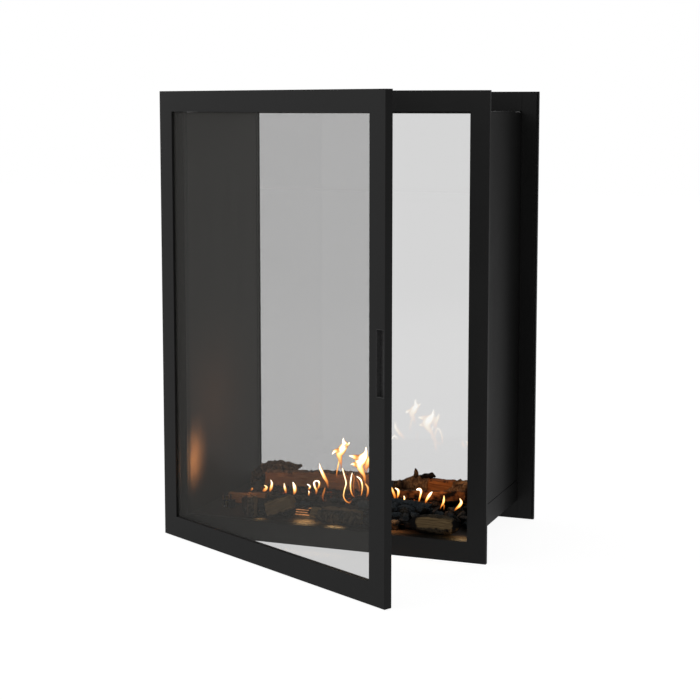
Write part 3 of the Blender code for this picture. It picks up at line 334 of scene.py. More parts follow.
# Ferrule on the ignition lead's end: a bright steel sleeve, 12 mm long, that lies under the pilot
# bracket and catches the daylight.
low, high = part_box("pilot_bracket")
sleeve_start, sleeve_length, sleeve_radius, sleeve_inset = -0.2815, 0.0118, 0.0022, 0.0045
along, turn = np.meshgrid(np.arange(4), np.arange(20) * math.pi / 10, indexing="ij")
radius = np.where((along == 0) | (along == 3), 0.0002, sleeve_radius)
sleeve = np.stack([sleeve_start + sleeve_length * (along > 1),
                   high.y - sleeve_inset + radius * np.cos(turn),
                   low.z + sleeve_radius + radius * np.sin(turn)], axis=-1)
ferrule = mesh_piece("lead_ferrule", sleeve, sheet_faces(4, 20, True)[:, ::-1], bright_steel,
                     smooth=False)
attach(ferrule, "firebox")


# Gas union and pilot tube: brass, turned from bar on a lathe and screwed on by hand, so it is a
# little dulled by handling and heat.
dull_brass, tree, shader = finish("turned brass")
place = node(tree, "ShaderNodeTexCoord").outputs["Object"]
tarnish = node(tree, "ShaderNodeTexNoise", {"Vector": place, "Scale": 1 / 0.006, "Detail": 4.0})
shade = node(tree, "ShaderNodeValToRGB", {0: tarnish.outputs["Fac"]},
             [(0.3, colour("#5A4524")), (0.7, colour("#96793F"))])
fill(shader, {"Base Color": shade.outputs[0], "Roughness": 0.33, "Metallic": 1.0})
coat(dull_brass, "gas_union", "pilot_burner")


# Spark electrode: white ceramic, pressed as a rod and fired with a clear glaze. The fire has
# browned it, and it is darkest at its hot tip.
glazed, tree, shader = finish("glazed white ceramic")
place = node(tree, "ShaderNodeTexCoord").outputs["Object"]
height = node(tree, "ShaderNodeSeparateXYZ", {0: place}).outputs["Z"]
low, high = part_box("spark_electrode")
hot_length = 0.012
scorch = node(tree, "ShaderNodeMapRange", {0: height, 1: high.z - hot_length, 2: high.z})
shade = node(tree, "ShaderNodeValToRGB", {0: scorch.outputs[0]},
             [(0.0, colour("#6E655A")), (1.0, colour("#2E2620"))])
fill(shader, {"Base Color": shade.outputs[0], "Roughness": 0.25})
coat(glazed, "spark_electrode")


# Logs: moulded ceramic fibre, cast from real bark and split wood and painted by hand. Bark is
# ridged and grey brown, split faces are reddish brown with long grain, and all are blackened.
def lattice_noise(u, v, across, along, seed):
    """Smooth random heights from 0 to 1: a random value at each crossing of a lattice, blended by
    smoothstep. u repeats after 1, and v runs from 0 to 1."""
    table = np.random.default_rng(seed).random((across, along + 2))
    a, b = (u % 1) * across, np.clip(v, 0, 1) * along
    i, j = np.floor(a).astype(int) % across, np.floor(b).astype(int)
    s, t = a - np.floor(a), b - j
    s, t = s * s * (3 - 2 * s), t * t * (3 - 2 * t)
    n = (i + 1) % across
    return ((1 - s) * ((1 - t) * table[i, j] + t * table[i, j + 1])
            + s * ((1 - t) * table[n, j] + t * table[n, j + 1]))


def smooth_line(knots, share):
    """The Catmull-Rom curve through the knots, which are evenly spaced in share from 0 to 1."""
    knots = np.array(knots, float)
    wide = np.vstack([2 * knots[0] - knots[1], knots, 2 * knots[-1] - knots[-2]])
    place = np.clip(share, 0, 1) * (len(knots) - 1)
    i = np.minimum(place.astype(int), len(knots) - 2)
    s = (place - i)[:, None]
    a, b, c, d = wide[i], wide[i + 1], wide[i + 2], wide[i + 3]
    return 0.5 * (2 * b + (c - a) * s + (2 * a - 5 * b + 4 * c - d) * s ** 2
                  + (3 * b - a - 3 * c + d) * s ** 3)


def log_skin(spine, seed, ridges=0.16, lumps=0.16, flats=(), jag=0.25, blocks=0.0, cells=(9, 16),
             tall=1.0, rows=130, facets=0):
    """A log round a smooth spine of (x, y, z, radius): its radius is the spine's times one plus
    lattice noise of lumps and of long ridges, grooved into blocks where it is charcoal, broken
    down to a number of random shallow facets, stretched upright by tall, and cut back to each
    flat plane given as (angle, distance share), with from and to unless it runs all along.
    Angle 0 faces the door and a quarter turn faces up. Both ends close over a jagged face. Marks
    say how much of each point is split face, and how deep it lies."""
    columns, caps = 84, 6
    mean_ridge, blocks_round, groove_sharpness = 0.72, 11, 9
    facet_tilt, flat_blend, cut_blend = 0.35, 0.015, 0.03
    t = np.concatenate([np.zeros(caps), np.linspace(0, 1, rows), np.ones(caps)])
    shrink = np.concatenate([np.linspace(0, 1, caps, endpoint=False), np.ones(rows),
                             np.linspace(1, 0, caps + 1)[1:]])
    line = smooth_line(spine, t)
    run = smooth_line(spine, t + 0.01) - smooth_line(spine, t - 0.01)
    run = run[:, :3] / np.linalg.norm(run[:, :3], axis=1, keepdims=True)
    side = np.cross(run, (0, 0, 1))
    side /= np.linalg.norm(side, axis=1, keepdims=True)
    up = np.cross(side, run)
    length = np.linalg.norm(np.diff(line[:, :3], axis=0), axis=1).sum()
    radius = line[:, 3:4]
    t, turn = np.meshgrid(t, np.arange(columns) / columns, indexing="ij")
    shrink = np.repeat(shrink[:, None], columns, axis=1)
    angle = turn * 2 * math.pi
    low = lattice_noise(turn, t, 5, 4, seed) - 0.5
    ridge = np.zeros_like(t)
    drift = turn + 0.05 * lattice_noise(turn, t, 4, 7, seed + 31)
    for k, share in enumerate((0.5, 0.3, 0.2)):
        ridge += share * (1 - np.abs(2 * lattice_noise(drift, t, cells[0] * 2 ** k,
                                                       cells[1] * 2 ** k, seed + 7 + k) - 1))
    spread = radius * (1 + lumps * low + ridges * (ridge - mean_ridge))
    if blocks:
        gap_u = np.abs(((turn * blocks_round + 0.5 * low) % 1) - 0.5) * 2
        steps = length / (1.1 * radius.max())
        gap_v = np.abs(((t * steps + 0.35 * np.floor(turn * blocks_round)) % 1) - 0.5) * 2
        spread -= radius * blocks * np.maximum(gap_u, gap_v) ** groove_sharpness
    chances = np.random.default_rng(seed + 9).uniform((0, 0, 0.74), (2 * math.pi, 1, 0.96),
                                                      (facets, 3))
    for facing, centre, distance in chances:
        face = np.cos(angle - facing)
        tilted = radius * distance + facet_tilt * np.abs(t - centre) * length
        spread = np.where(face > 0.2, np.minimum(spread, tilted / np.maximum(face, 0.2)), spread)
    split = np.zeros_like(t)
    for facing, distance, *reach in flats:
        begin, stop = reach or (-0.1, 1.1)
        part = np.clip((t - begin) / flat_blend, 0, 1) * np.clip((stop - t) / flat_blend, 0, 1)
        face = np.cos(angle - facing)
        fine = lattice_noise(turn, t, 60, 9, seed + 5) - 0.5
        limit = radius * (distance + 0.05 * fine) / np.maximum(face, 0.05)
        cut = part * np.clip((spread - limit) / (cut_blend * radius), 0, 1) * (face > 0.05)
        spread = spread + (np.minimum(spread, limit) - spread) * part * (face > 0.05)
        split = np.maximum(split, cut)
    ends = (lattice_noise(turn, t * 0, 9, 2, seed + 3) - 0.5) * jag * radius
    ends += (lattice_noise(turn, shrink, 14, 5, seed + 4) - 0.5) * jag * 0.5 * radius
    ends *= np.where(t < 0.5, -1, 1) * np.clip(np.abs(2 * t - 1) * 8 - 7, 0, 1)
    spread = spread * shrink
    points = (line[:, None, :3] + ends[..., None] * run[:, None]
              + (spread * np.cos(angle))[..., None] * side[:, None]
              + (spread * tall * np.sin(angle))[..., None] * up[:, None])
    # Painted shade: depth marks how far down in the bark's furrows a point lies, for the paint to
    # darken it.
    depth = np.clip((0.85 - ridge) * 2, 0, 1)
    uv = np.stack([turn * 2 * math.pi * radius.mean(), t * length], axis=-1)
    return points, sheet_faces(len(t), columns, True), uv, np.maximum(split, shrink < 1), depth


painted_fibre, tree, shader = finish("painted ceramic fibre")
place = node(tree, "ShaderNodeTexCoord")
grain_place = node(tree, "ShaderNodeMapping", {"Vector": place.outputs["UV"],
                                               "Scale": (1 / 0.0016, 1 / 0.030, 1)})
grain = node(tree, "ShaderNodeTexNoise", {"Vector": grain_place.outputs[0], "Scale": 1.0,
                                          "Detail": 5.0, "Distortion": 0.4})
patch = node(tree, "ShaderNodeTexNoise", {"Vector": place.outputs["Object"],
                                          "Scale": 1 / 0.018, "Detail": 6.0})
speck = node(tree, "ShaderNodeTexNoise", {"Vector": place.outputs["Object"],
                                          "Scale": 1 / 0.0035, "Detail": 4.0})
split, depth, redness, charring, ash = (
    node(tree, "ShaderNodeAttribute", attribute_name=mark).outputs["Fac"]
    for mark in ("split", "depth", "redness", "charring", "ash"))
bark = node(tree, "ShaderNodeValToRGB", {0: speck.outputs["Fac"]},
            [(0.3, colour("#3B3226")), (0.72, colour("#7C6D58"))])
# Painted shade: the bark darkens towards black deep in its furrows.
bark_furrow_shade = node(tree, "ShaderNodeMix", {0: depth, 6: bark.outputs[0], 7: colour("#140F0B")},
                 data_type="RGBA", clamp_factor=True)
tan = node(tree, "ShaderNodeValToRGB", {0: grain.outputs["Fac"]},
           [(0.3, colour("#5C4B34")), (0.7, colour("#9C845E"))])
red = node(tree, "ShaderNodeValToRGB", {0: grain.outputs["Fac"]},
           [(0.3, colour("#4A2C17")), (0.7, colour("#8C5A30"))])
wood = node(tree, "ShaderNodeMix", {0: redness, 6: tan.outputs[0], 7: red.outputs[0]},
            data_type="RGBA", clamp_factor=True)
body = node(tree, "ShaderNodeMix", {0: split, 6: bark_furrow_shade.outputs[2], 7: wood.outputs[2]},
            data_type="RGBA", clamp_factor=True)
burn = node(tree, "ShaderNodeMath", {0: patch.outputs["Fac"], 1: charring}, operation="ADD")
burnt = node(tree, "ShaderNodeMapRange", {0: burn.outputs[0], 1: 0.92, 2: 1.12})
blackened = node(tree, "ShaderNodeMix", {0: burnt.outputs[0], 6: body.outputs[2],
                                         7: colour("#0D0C0C")}, data_type="RGBA",
                 clamp_factor=True)
# Blue-grey ash dust and a painted highlight: the mix lightens the logs by their ash and specks,
# and most on the faces that look up, where the blue-grey stands for light falling on them.
upward = node(tree, "ShaderNodeSeparateXYZ",
              {0: node(tree, "ShaderNodeNewGeometry").outputs["Normal"]}).outputs["Z"]
dust_and_top_highlight = node(tree, "ShaderNodeMath", {0: upward, 1: 0.4, 2: speck.outputs["Fac"]},
             operation="MULTIPLY_ADD")
dust_and_highlight = node(tree, "ShaderNodeMath", {0: dust_and_top_highlight.outputs[0], 1: ash}, operation="ADD")
dust_and_highlight_share = node(tree, "ShaderNodeMapRange", {0: dust_and_highlight.outputs[0], 1: 0.95, 2: 1.45, 4: 0.75})
final = node(tree, "ShaderNodeMix", {0: dust_and_highlight_share.outputs[0], 6: blackened.outputs[2],
                                     7: colour("#555E64")}, data_type="RGBA", clamp_factor=True)
tooth = node(tree, "ShaderNodeMath", {0: grain.outputs["Fac"], 1: speck.outputs["Fac"]},
             operation="ADD")
relief = node(tree, "ShaderNodeBump", {"Strength": 0.40, "Distance": 0.0012,
                                       "Height": tooth.outputs[0]})
fill(shader, {"Base Color": final.outputs[2], "Roughness": 0.88, "Normal": relief.outputs[0],
              "Specular IOR Level": 0.25})

front, top, rear = 0.0, math.pi / 2, math.pi
LOGS = {
    # name: spine in millimetres as (x, y, z, radius), shape, redness, charring, ash, slot
    "long_log_left": (
        ((-214, 177, 99, 21.5), (-145, 187, 99.5, 21.5), (-60, 203, 100.5, 22.5),
         (40, 216.5, 101, 23.5)), dict(
            seed=11, ridges=0.34, lumps=0.18, jag=0.10, cells=(8, 30), rows=170,
            flats=((front + 0.12, 0.56), (-top, 0.90))),
        0.62, 0.22, 0.05, "log_split"),
    "back_log_left": (
        ((-286, 262, 62, 10), (-278, 264, 84, 14.5), (-259, 265.5, 99, 16),
         (-235, 267.5, 102, 16.8), (-212.6, 269.5, 105.5, 16.5), (-190, 271, 104, 14),
         (-177, 272, 108, 7.8), (-166.5, 273, 113, 3.2)), dict(
            seed=23, ridges=1.0, lumps=0.40, jag=1.6, cells=(7, 20), rows=170, facets=14),
        0.1, 0.08, 0.15, "log_bark"),
    "small_log_left": (
        ((-287, 125, 59.5, 13.5), (-236, 125, 60, 13.5)), dict(
            seed=35, ridges=0.10, lumps=0.08, jag=0.10, rows=60,
            flats=((front + 0.1, 0.62), (top, 0.85))),
        0.05, 0.02, 0.0, "log_split"),
    # A splinter that carries on from it over the corner of the burner.
    "splinter_left": (
        ((-212, 67, 84.5, 6.2), (-168, 68, 85, 6.6)), dict(
            seed=37, ridges=0.10, lumps=0.08, jag=0.10, rows=60,
            flats=((front + 0.1, 0.62), (top, 0.85))),
        0.30, 0.02, 0.0, "log_split"),
    "split_log_front": (
        ((-151, 37, 62.5, 18.5), (-120, 37, 74.5, 20), (-89, 37, 87.5, 19)), dict(
            seed=47, ridges=0.10, lumps=0.10, jag=0.25, cells=(6, 8), rows=80,
            flats=((front + 0.20, 0.60), (top + 0.35, 0.80), (rear, 0.80), (-top, 0.80))),
        0.12, 0.10, 0.05, "log_split"),
    "charcoal_log_left": (
        ((-205, 88, 83.2, 5.2), (-150, 83, 83.5, 5.6), (-85, 84, 83.8, 6.2),
         (-30, 87, 84.2, 6.8)), dict(
            seed=59, ridges=0.24, lumps=0.34, jag=0.7, blocks=0.14, facets=24),
        0.3, 0.40, 0.20, "log_char"),
    # The sawn block between the louvres and the charcoal log.
    "block_front": (
        ((-40, 32, 71.2, 12), (-16, 32, 70.6, 12.4)), dict(
            seed=63, ridges=0.10, lumps=0.12, jag=0.2, cells=(6, 8), rows=60,
            flats=((front + 0.25, 0.68), (top + 0.20, 0.72), (-top, 0.74))),
        0.10, 0.06, 0.05, "log_split"),
    # A charred stub under it, with its thin end off the floor.
    "stub_front": (
        ((-54, 46, 64, 4.5), (-40, 42, 60, 9.5), (-18, 38, 59, 13)), dict(
            seed=65, ridges=0.20, lumps=0.30, jag=0.5, blocks=0.12, cells=(6, 6), rows=70,
            facets=10),
        0.10, 0.80, 0.10, "log_char"),
    "charcoal_log_front": (
        ((-18, 36, 65.5, 18), (25, 36, 66, 19.5), (74, 37, 64, 18.5)), dict(
            seed=61, ridges=0.20, lumps=0.28, jag=0.5, blocks=0.12, facets=22,
            flats=((top - 0.1, 0.76),)),
        0.15, 0.34, 0.24, "log_char"),
    "charcoal_log_right": (
        ((80, 90, 89, 11.5), (125, 86, 89.5, 13), (175, 84, 88.5, 12.5),
         (222, 82, 86, 10.5)), dict(
            seed=73, ridges=0.14, lumps=0.40, jag=0.7, blocks=0.10, cells=(6, 10), facets=30),
        0.1, 0.85, 0.52, "log_char"),
    "grey_log_front": (
        ((186, 38, 60, 7), (204, 37, 64, 16.5), (238, 37, 66, 20), (270, 37, 66, 19.7),
         (290, 37, 65, 15), (300, 38, 64, 6)), dict(
            seed=85, ridges=0.16, lumps=0.16, jag=0.2, cells=(5, 6),
            flats=((front + 0.42, 0.76, 0.06, 1.1),)),
        0.05, (0.24, 0.66), 0.02, "log_bark"),
    "long_log_right": (
        ((98, 180, 87, 11), (160, 183, 88.5, 12.5), (220, 186, 90, 13.5),
         (268, 190, 91.5, 13)), dict(
            seed=97, ridges=0.20, lumps=0.16, jag=0.2, cells=(7, 14),
            flats=((front + 0.40, 0.64),)),
        0.85, 0.52, 0.0, "log_split"),
    "bark_log_right": (
        ((80, 242, 92, 10.5), (104, 243, 94.5, 15), (132, 245, 98, 20.5), (160, 246, 96.5, 19),
         (190, 248, 95.5, 18.5), (223, 250, 95.5, 18.5)), dict(
            seed=109, ridges=0.44, lumps=0.34, jag=0.3, cells=(5, 12), rows=160,
            flats=((front + 0.12, 0.66, 0.62, 1.1), (top - 0.06, 0.92, 0.62, 1.1))),
        0.80, 0.16, 0.05, "log_bark"),
    "end_log_right": (
        ((214, 262, 80, 28.5), (265, 252, 87, 29.5), (316, 252, 90, 29)), dict(
            seed=121, ridges=0.30, lumps=0.20, jag=0.4, cells=(7, 8), tall=1.14, rows=90,
            flats=((top - 0.08, 0.78, 0.22, 1.1),)),
        0.0, 0.32, 0.05, "log_bark"),
    "stump_front": (
        ((-187, 33, 45.5, 11.5), (-187, 33.2, 69, 12), (-187, 33.4, 91.5, 11)), dict(
            seed=133, ridges=0.18, lumps=0.20, jag=0.4, cells=(7, 6), rows=60,
            flats=((front + 0.3, 0.84),)),
        0.0, 0.0, 0.05, "log_bark"),
    # Burnt stubs of two twigs on the right-hand bark log, broken off short.
    "burnt_twig": (
        ((132, 245, 112, 7), (132.5, 245.3, 124, 5.4), (130.5, 246, 134, 2.2)), dict(
            seed=141, ridges=0.3, lumps=0.4, jag=1.2, rows=50),
        0.8, 0.52, 0.0, "log_char"),
    "burnt_branch": (
        ((136, 246, 111, 8.5), (150, 247, 115, 7.5), (163, 248, 120, 6.6),
         (174, 249, 123.5, 5.8)), dict(
            seed=153, ridges=0.8, lumps=0.7, jag=0.9, rows=60, facets=10),
        0.3, 0.74, 0.0, "log_char"),
}
burn_from, burn_to = 0.42, 0.60
for name, (spine, shape, redness, charring, ash, slot) in LOGS.items():
    points, faces, uv, split, depth = log_skin(np.array(spine) / 1000, **shape)
    # Charring is one number, or one for the middle and one for both ends.
    toward_end = np.abs(2 * uv[..., 1] / uv[..., 1].max() - 1)
    burnt_away = np.interp(toward_end, (burn_from, burn_to), np.broadcast_to(charring, 2))
    skin = mesh_piece(name + "_skin", points, faces, painted_fibre, uv,
                      {"split": split * (not name.startswith("burnt")), "depth": depth,
                       "redness": np.full(split.shape, redness),
                       "charring": burnt_away, "ash": np.full(split.shape, ash)})
    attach(skin, "firebox")
    if name in nodes:
        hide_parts(name)


# Loose charcoal: lumps of the same moulded fibre, painted blue black, that are packed round the
# logs by hand so that they hide the burner and its louvres.
def ball_points(rings, spokes, flatness=1.0):
    """A unit ball's points, ring by ring from pole to pole, with its height times flatness."""
    polar, around = np.meshgrid(np.linspace(0, math.pi, rings),
                                np.arange(spokes) * 2 * math.pi / spokes, indexing="ij")
    return np.stack([np.sin(polar) * np.cos(around), np.sin(polar) * np.sin(around),
                     flatness * np.cos(polar)], axis=-1).reshape(-1, 3)


def ball_faces(count, rings, spokes):
    """The faces of a number of such balls, one after the other."""
    shift = (np.arange(count) * rings * spokes)[:, None, None]
    return (sheet_faces(rings, spokes, True)[:, ::-1] + shift).reshape(-1, 4)


def charcoal_lumps(centres, sizes, seed):
    """Angular lumps: each is a ball whose radius in every direction is its size over the steepest
    of some random planes, blunted, plus fine noise, and set down at its centre."""
    rng = np.random.default_rng(seed)
    rings, spokes, planes_each, sharpness, farthest, grain = 16, 22, 9, 24, 1.45, 0.03
    ball = ball_points(rings, spokes)
    planes = rng.normal(size=(len(centres), planes_each, 3))
    planes /= np.linalg.norm(planes, axis=2, keepdims=True)
    steep = np.einsum("nki,pi->nkp", planes, ball).clip(0.01)
    steep /= rng.uniform(0.7, 1.1, (len(centres), planes_each, 1))
    reach = 1 / (np.sum(steep ** sharpness, axis=1) ** (1 / sharpness))
    reach = np.minimum(reach, farthest) + grain * (rng.random(reach.shape) - 0.5)
    reach[:, :spokes], reach[:, -spokes:] = reach[:, :1], reach[:, -1:]
    stretch = rng.uniform(0.75, 1.25, (len(centres), 1, 3)) * (1.15, 0.9, 0.85)
    points = centres[:, None] + ball * stretch * (reach * sizes[:, None])[..., None]
    return points, ball_faces(len(centres), rings, spokes)


LUMPS = (
    # x, y, z of the middle and size, in millimetres
    (-205, 47, 52, 8), (-190, 46, 60, 7.5), (-163, 46, 53, 9), (-166, 47, 68, 8.5),
    (-140, 50, 56, 7), (-105, 50, 74, 8.5), (-112, 49, 55, 7), (-30, 52, 56, 6),
    (85, 47, 56, 10.5), (88, 46, 72, 9), (108, 47, 54, 9.5), (112, 46, 70, 10.5),
    (132, 46, 70, 9.5), (150, 48, 74.5, 10), (172, 46, 72, 10), (180, 50, 56, 8.5),
    (236, 60, 56, 10), (250, 75, 57, 11), (238, 85, 74, 10), (268, 90, 56, 10), (262, 110, 58, 12),
    (285, 130, 56, 10), (300, 100, 54, 8.5), (246, 130, 59, 13), (270, 150, 57, 11),
    (292, 175, 57, 11), (246, 165, 59, 13), (245, 200, 60, 14), (272, 205, 58, 12),
    (205, 70, 85, 8), (-240, 150, 56, 11), (-244, 185, 58, 12), (-242, 215, 60, 14),
    (-262, 200, 56, 10), (-258, 232, 62, 15), (-238, 245, 70, 15), (-215, 182, 85, 8.5),
    (-200, 170, 84, 7), (60, 186, 85, 8.5), (76, 180, 86, 9), (90, 165, 85, 8), (60, 205, 86, 9.5),
    (-8, 86, 85, 8), (14, 82, 84.5, 7.5), (36, 88, 85, 8), (60, 86, 84.5, 7.5), (98, 66, 84, 7.5),
    (150, 66, 84.5, 8), (185, 66, 84, 7), (-130, 66, 84, 7), (222, 215, 86, 9), (205, 105, 84, 7),
    (-165, 240, 87, 10), (-236, 232, 88, 12.5), (-228, 246, 90, 12), (70, 45, 56, 10),
    (196, 48, 78, 9.5), (128, 44, 56, 11), (150, 44, 57, 11), (-140, 246, 86, 9), (30, 246, 86, 9),
    (52, 236, 86, 8.5), (-97, 46, 60, 10), (-84, 47, 76.5, 8), (-70, 47, 78, 8.5),
    (-58, 47, 77, 8), (140, 64, 83, 14), (170, 60, 80, 13.5), (202, 62, 83, 12),
    (116, 50, 64, 13.5), (148, 42, 61, 12), (78, 60, 83, 13),
)
lumps = np.array(LUMPS) / 1000
points, faces = charcoal_lumps(lumps[:, :3], lumps[:, 3], 17)
count = len(points) * points.shape[1]
uv = points[..., :2] + points[..., 2:]
loose = mesh_piece("loose_charcoal", points, faces, painted_fibre, uv,
                   {"split": np.zeros(count), "depth": np.full(count, 0.6),
                    "redness": np.zeros(count), "charring": np.full(count, 0.62),
                    "ash": np.full(count, 0.46)}, smooth=False)
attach(loose, "firebox")


# Ember bed: crushed ceramic granules strewn over the flame ports. Most are black, and those in the
# flames glow orange through the gaps between their neighbours.
granule, tree, shader = finish("glowing ceramic granules")
place = node(tree, "ShaderNodeTexCoord").outputs["Object"]
spots = node(tree, "ShaderNodeTexNoise", {"Vector": place, "Scale": 1 / 0.012, "Detail": 3.0})
fine = node(tree, "ShaderNodeTexNoise", {"Vector": place, "Scale": 1 / 0.002, "Detail": 3.0})
shade = node(tree, "ShaderNodeValToRGB", {0: fine.outputs["Fac"]},
             [(0.3, colour("#0B0A0A")), (0.75, colour("#3A3532"))])
hot = node(tree, "ShaderNodeMapRange", {0: spots.outputs["Fac"], 1: 0.62, 2: 0.74, 4: 1.0})
fill(shader, {"Base Color": shade.outputs[0], "Roughness": 0.9,
              "Emission Color": colour("#FF6A1E"), "Emission Strength": hot.outputs[0]})


def pebble_heap(centres, sizes, seed):
    """Small rough stones: each is a low, narrow ball whose radius is its size times one plus
    noise, turned at random about the upright."""
    rng = np.random.default_rng(seed)
    rings, spokes, flatness, narrowness, noise = 6, 8, 0.7, 0.8, 0.35
    ball = ball_points(rings, spokes, flatness)
    rough = 1 + noise * (rng.random((len(centres), len(ball), 1)) - 0.5)
    rough[:, :spokes], rough[:, -spokes:] = rough[:, :1], rough[:, -1:]
    yaw = rng.random(len(centres)) * 2 * math.pi
    c, s = np.cos(yaw)[:, None], np.sin(yaw)[:, None]
    x, y, z = ball.T
    y = narrowness * y
    turned = np.stack([c * x - s * y, s * x + c * y, z + 0 * c], axis=-1)
    points = centres[:, None] + turned * rough * sizes[:, None, None]
    return points, ball_faces(len(centres), rings, spokes)


rng = np.random.default_rng(5)
count, past_left, past_right, rim = 1100, 0.012, 0.140, 0.003
low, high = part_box("ember_bed")
strewn = np.stack([rng.uniform(low.x - past_left, high.x + past_right, count),
                   rng.uniform(low.y + rim, high.y - rim, count),
                   low.z + rng.uniform(0.0016, 0.0062, count)], axis=1)
points, faces = pebble_heap(strewn, rng.uniform(0.0018, 0.0040, count), 6)
embers = mesh_piece("ember_granules", points, faces, granule, smooth=False)
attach(embers, "firebox")
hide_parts("ember_bed")


# Burner glow: a strip of ceramic gauze behind the louvres that glows orange. The glow is painted
# light, standing in for the fire's light through the slots, and it lights the floor in front of
# them.
gauze, tree, shader = finish("glowing ceramic gauze")
place = node(tree, "ShaderNodeTexCoord").outputs["Object"]
spots = node(tree, "ShaderNodeTexNoise", {"Vector": place, "Scale": 1 / 0.008, "Detail": 2.0})
across = node(tree, "ShaderNodeSeparateXYZ", {0: place}).outputs["X"]
# The painted glow is brightest left of the middle, dim at the far left and dull towards the right.
gauze_half = 0.21
spread = node(tree, "ShaderNodeMapRange", {0: across, 1: -gauze_half, 2: gauze_half})
glow_fall_off = node(tree, "ShaderNodeValToRGB", {0: spread.outputs[0]},
            [(0.05, (0.12, 0.12, 0.12, 1)), (0.62, (0.02, 0.02, 0.02, 1)),
             (0.24, (1, 1, 1, 1)), (0.40, (1, 1, 1, 1)), (0.48, (0.10, 0.10, 0.10, 1))])
hot = node(tree, "ShaderNodeMapRange", {0: spots.outputs["Fac"], 1: 0.3, 2: 0.7, 3: 0.5,
                                        4: 1.4})
glow_strength = node(tree, "ShaderNodeMath", {0: hot.outputs[0], 1: glow_fall_off.outputs[0]},
              operation="MULTIPLY")
fill(shader, {"Base Color": colour("#6A4A35"), "Roughness": 0.9,
              "Emission Color": colour("#E0955A"), "Emission Strength": glow_strength.outputs[0]})
gauze_depth, gauze_low, gauze_high, wave_height, wave_pitch = 0.0640, 0.0485, 0.0735, 0.0008, 0.010
u, v = grid((-gauze_half, gauze_half, 169), (gauze_low, gauze_high, 11))
waves = gauze_depth + wave_height * np.sin(u * 2 * math.pi / wave_pitch)
strip = mesh_piece("painted_glow_strip", np.stack([u, waves, v], axis=-1), sheet_faces(169, 11), gauze)
thickness = strip.modifiers.new("thickness", "SOLIDIFY")
thickness.thickness = 0.0008
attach(strip, "firebox")


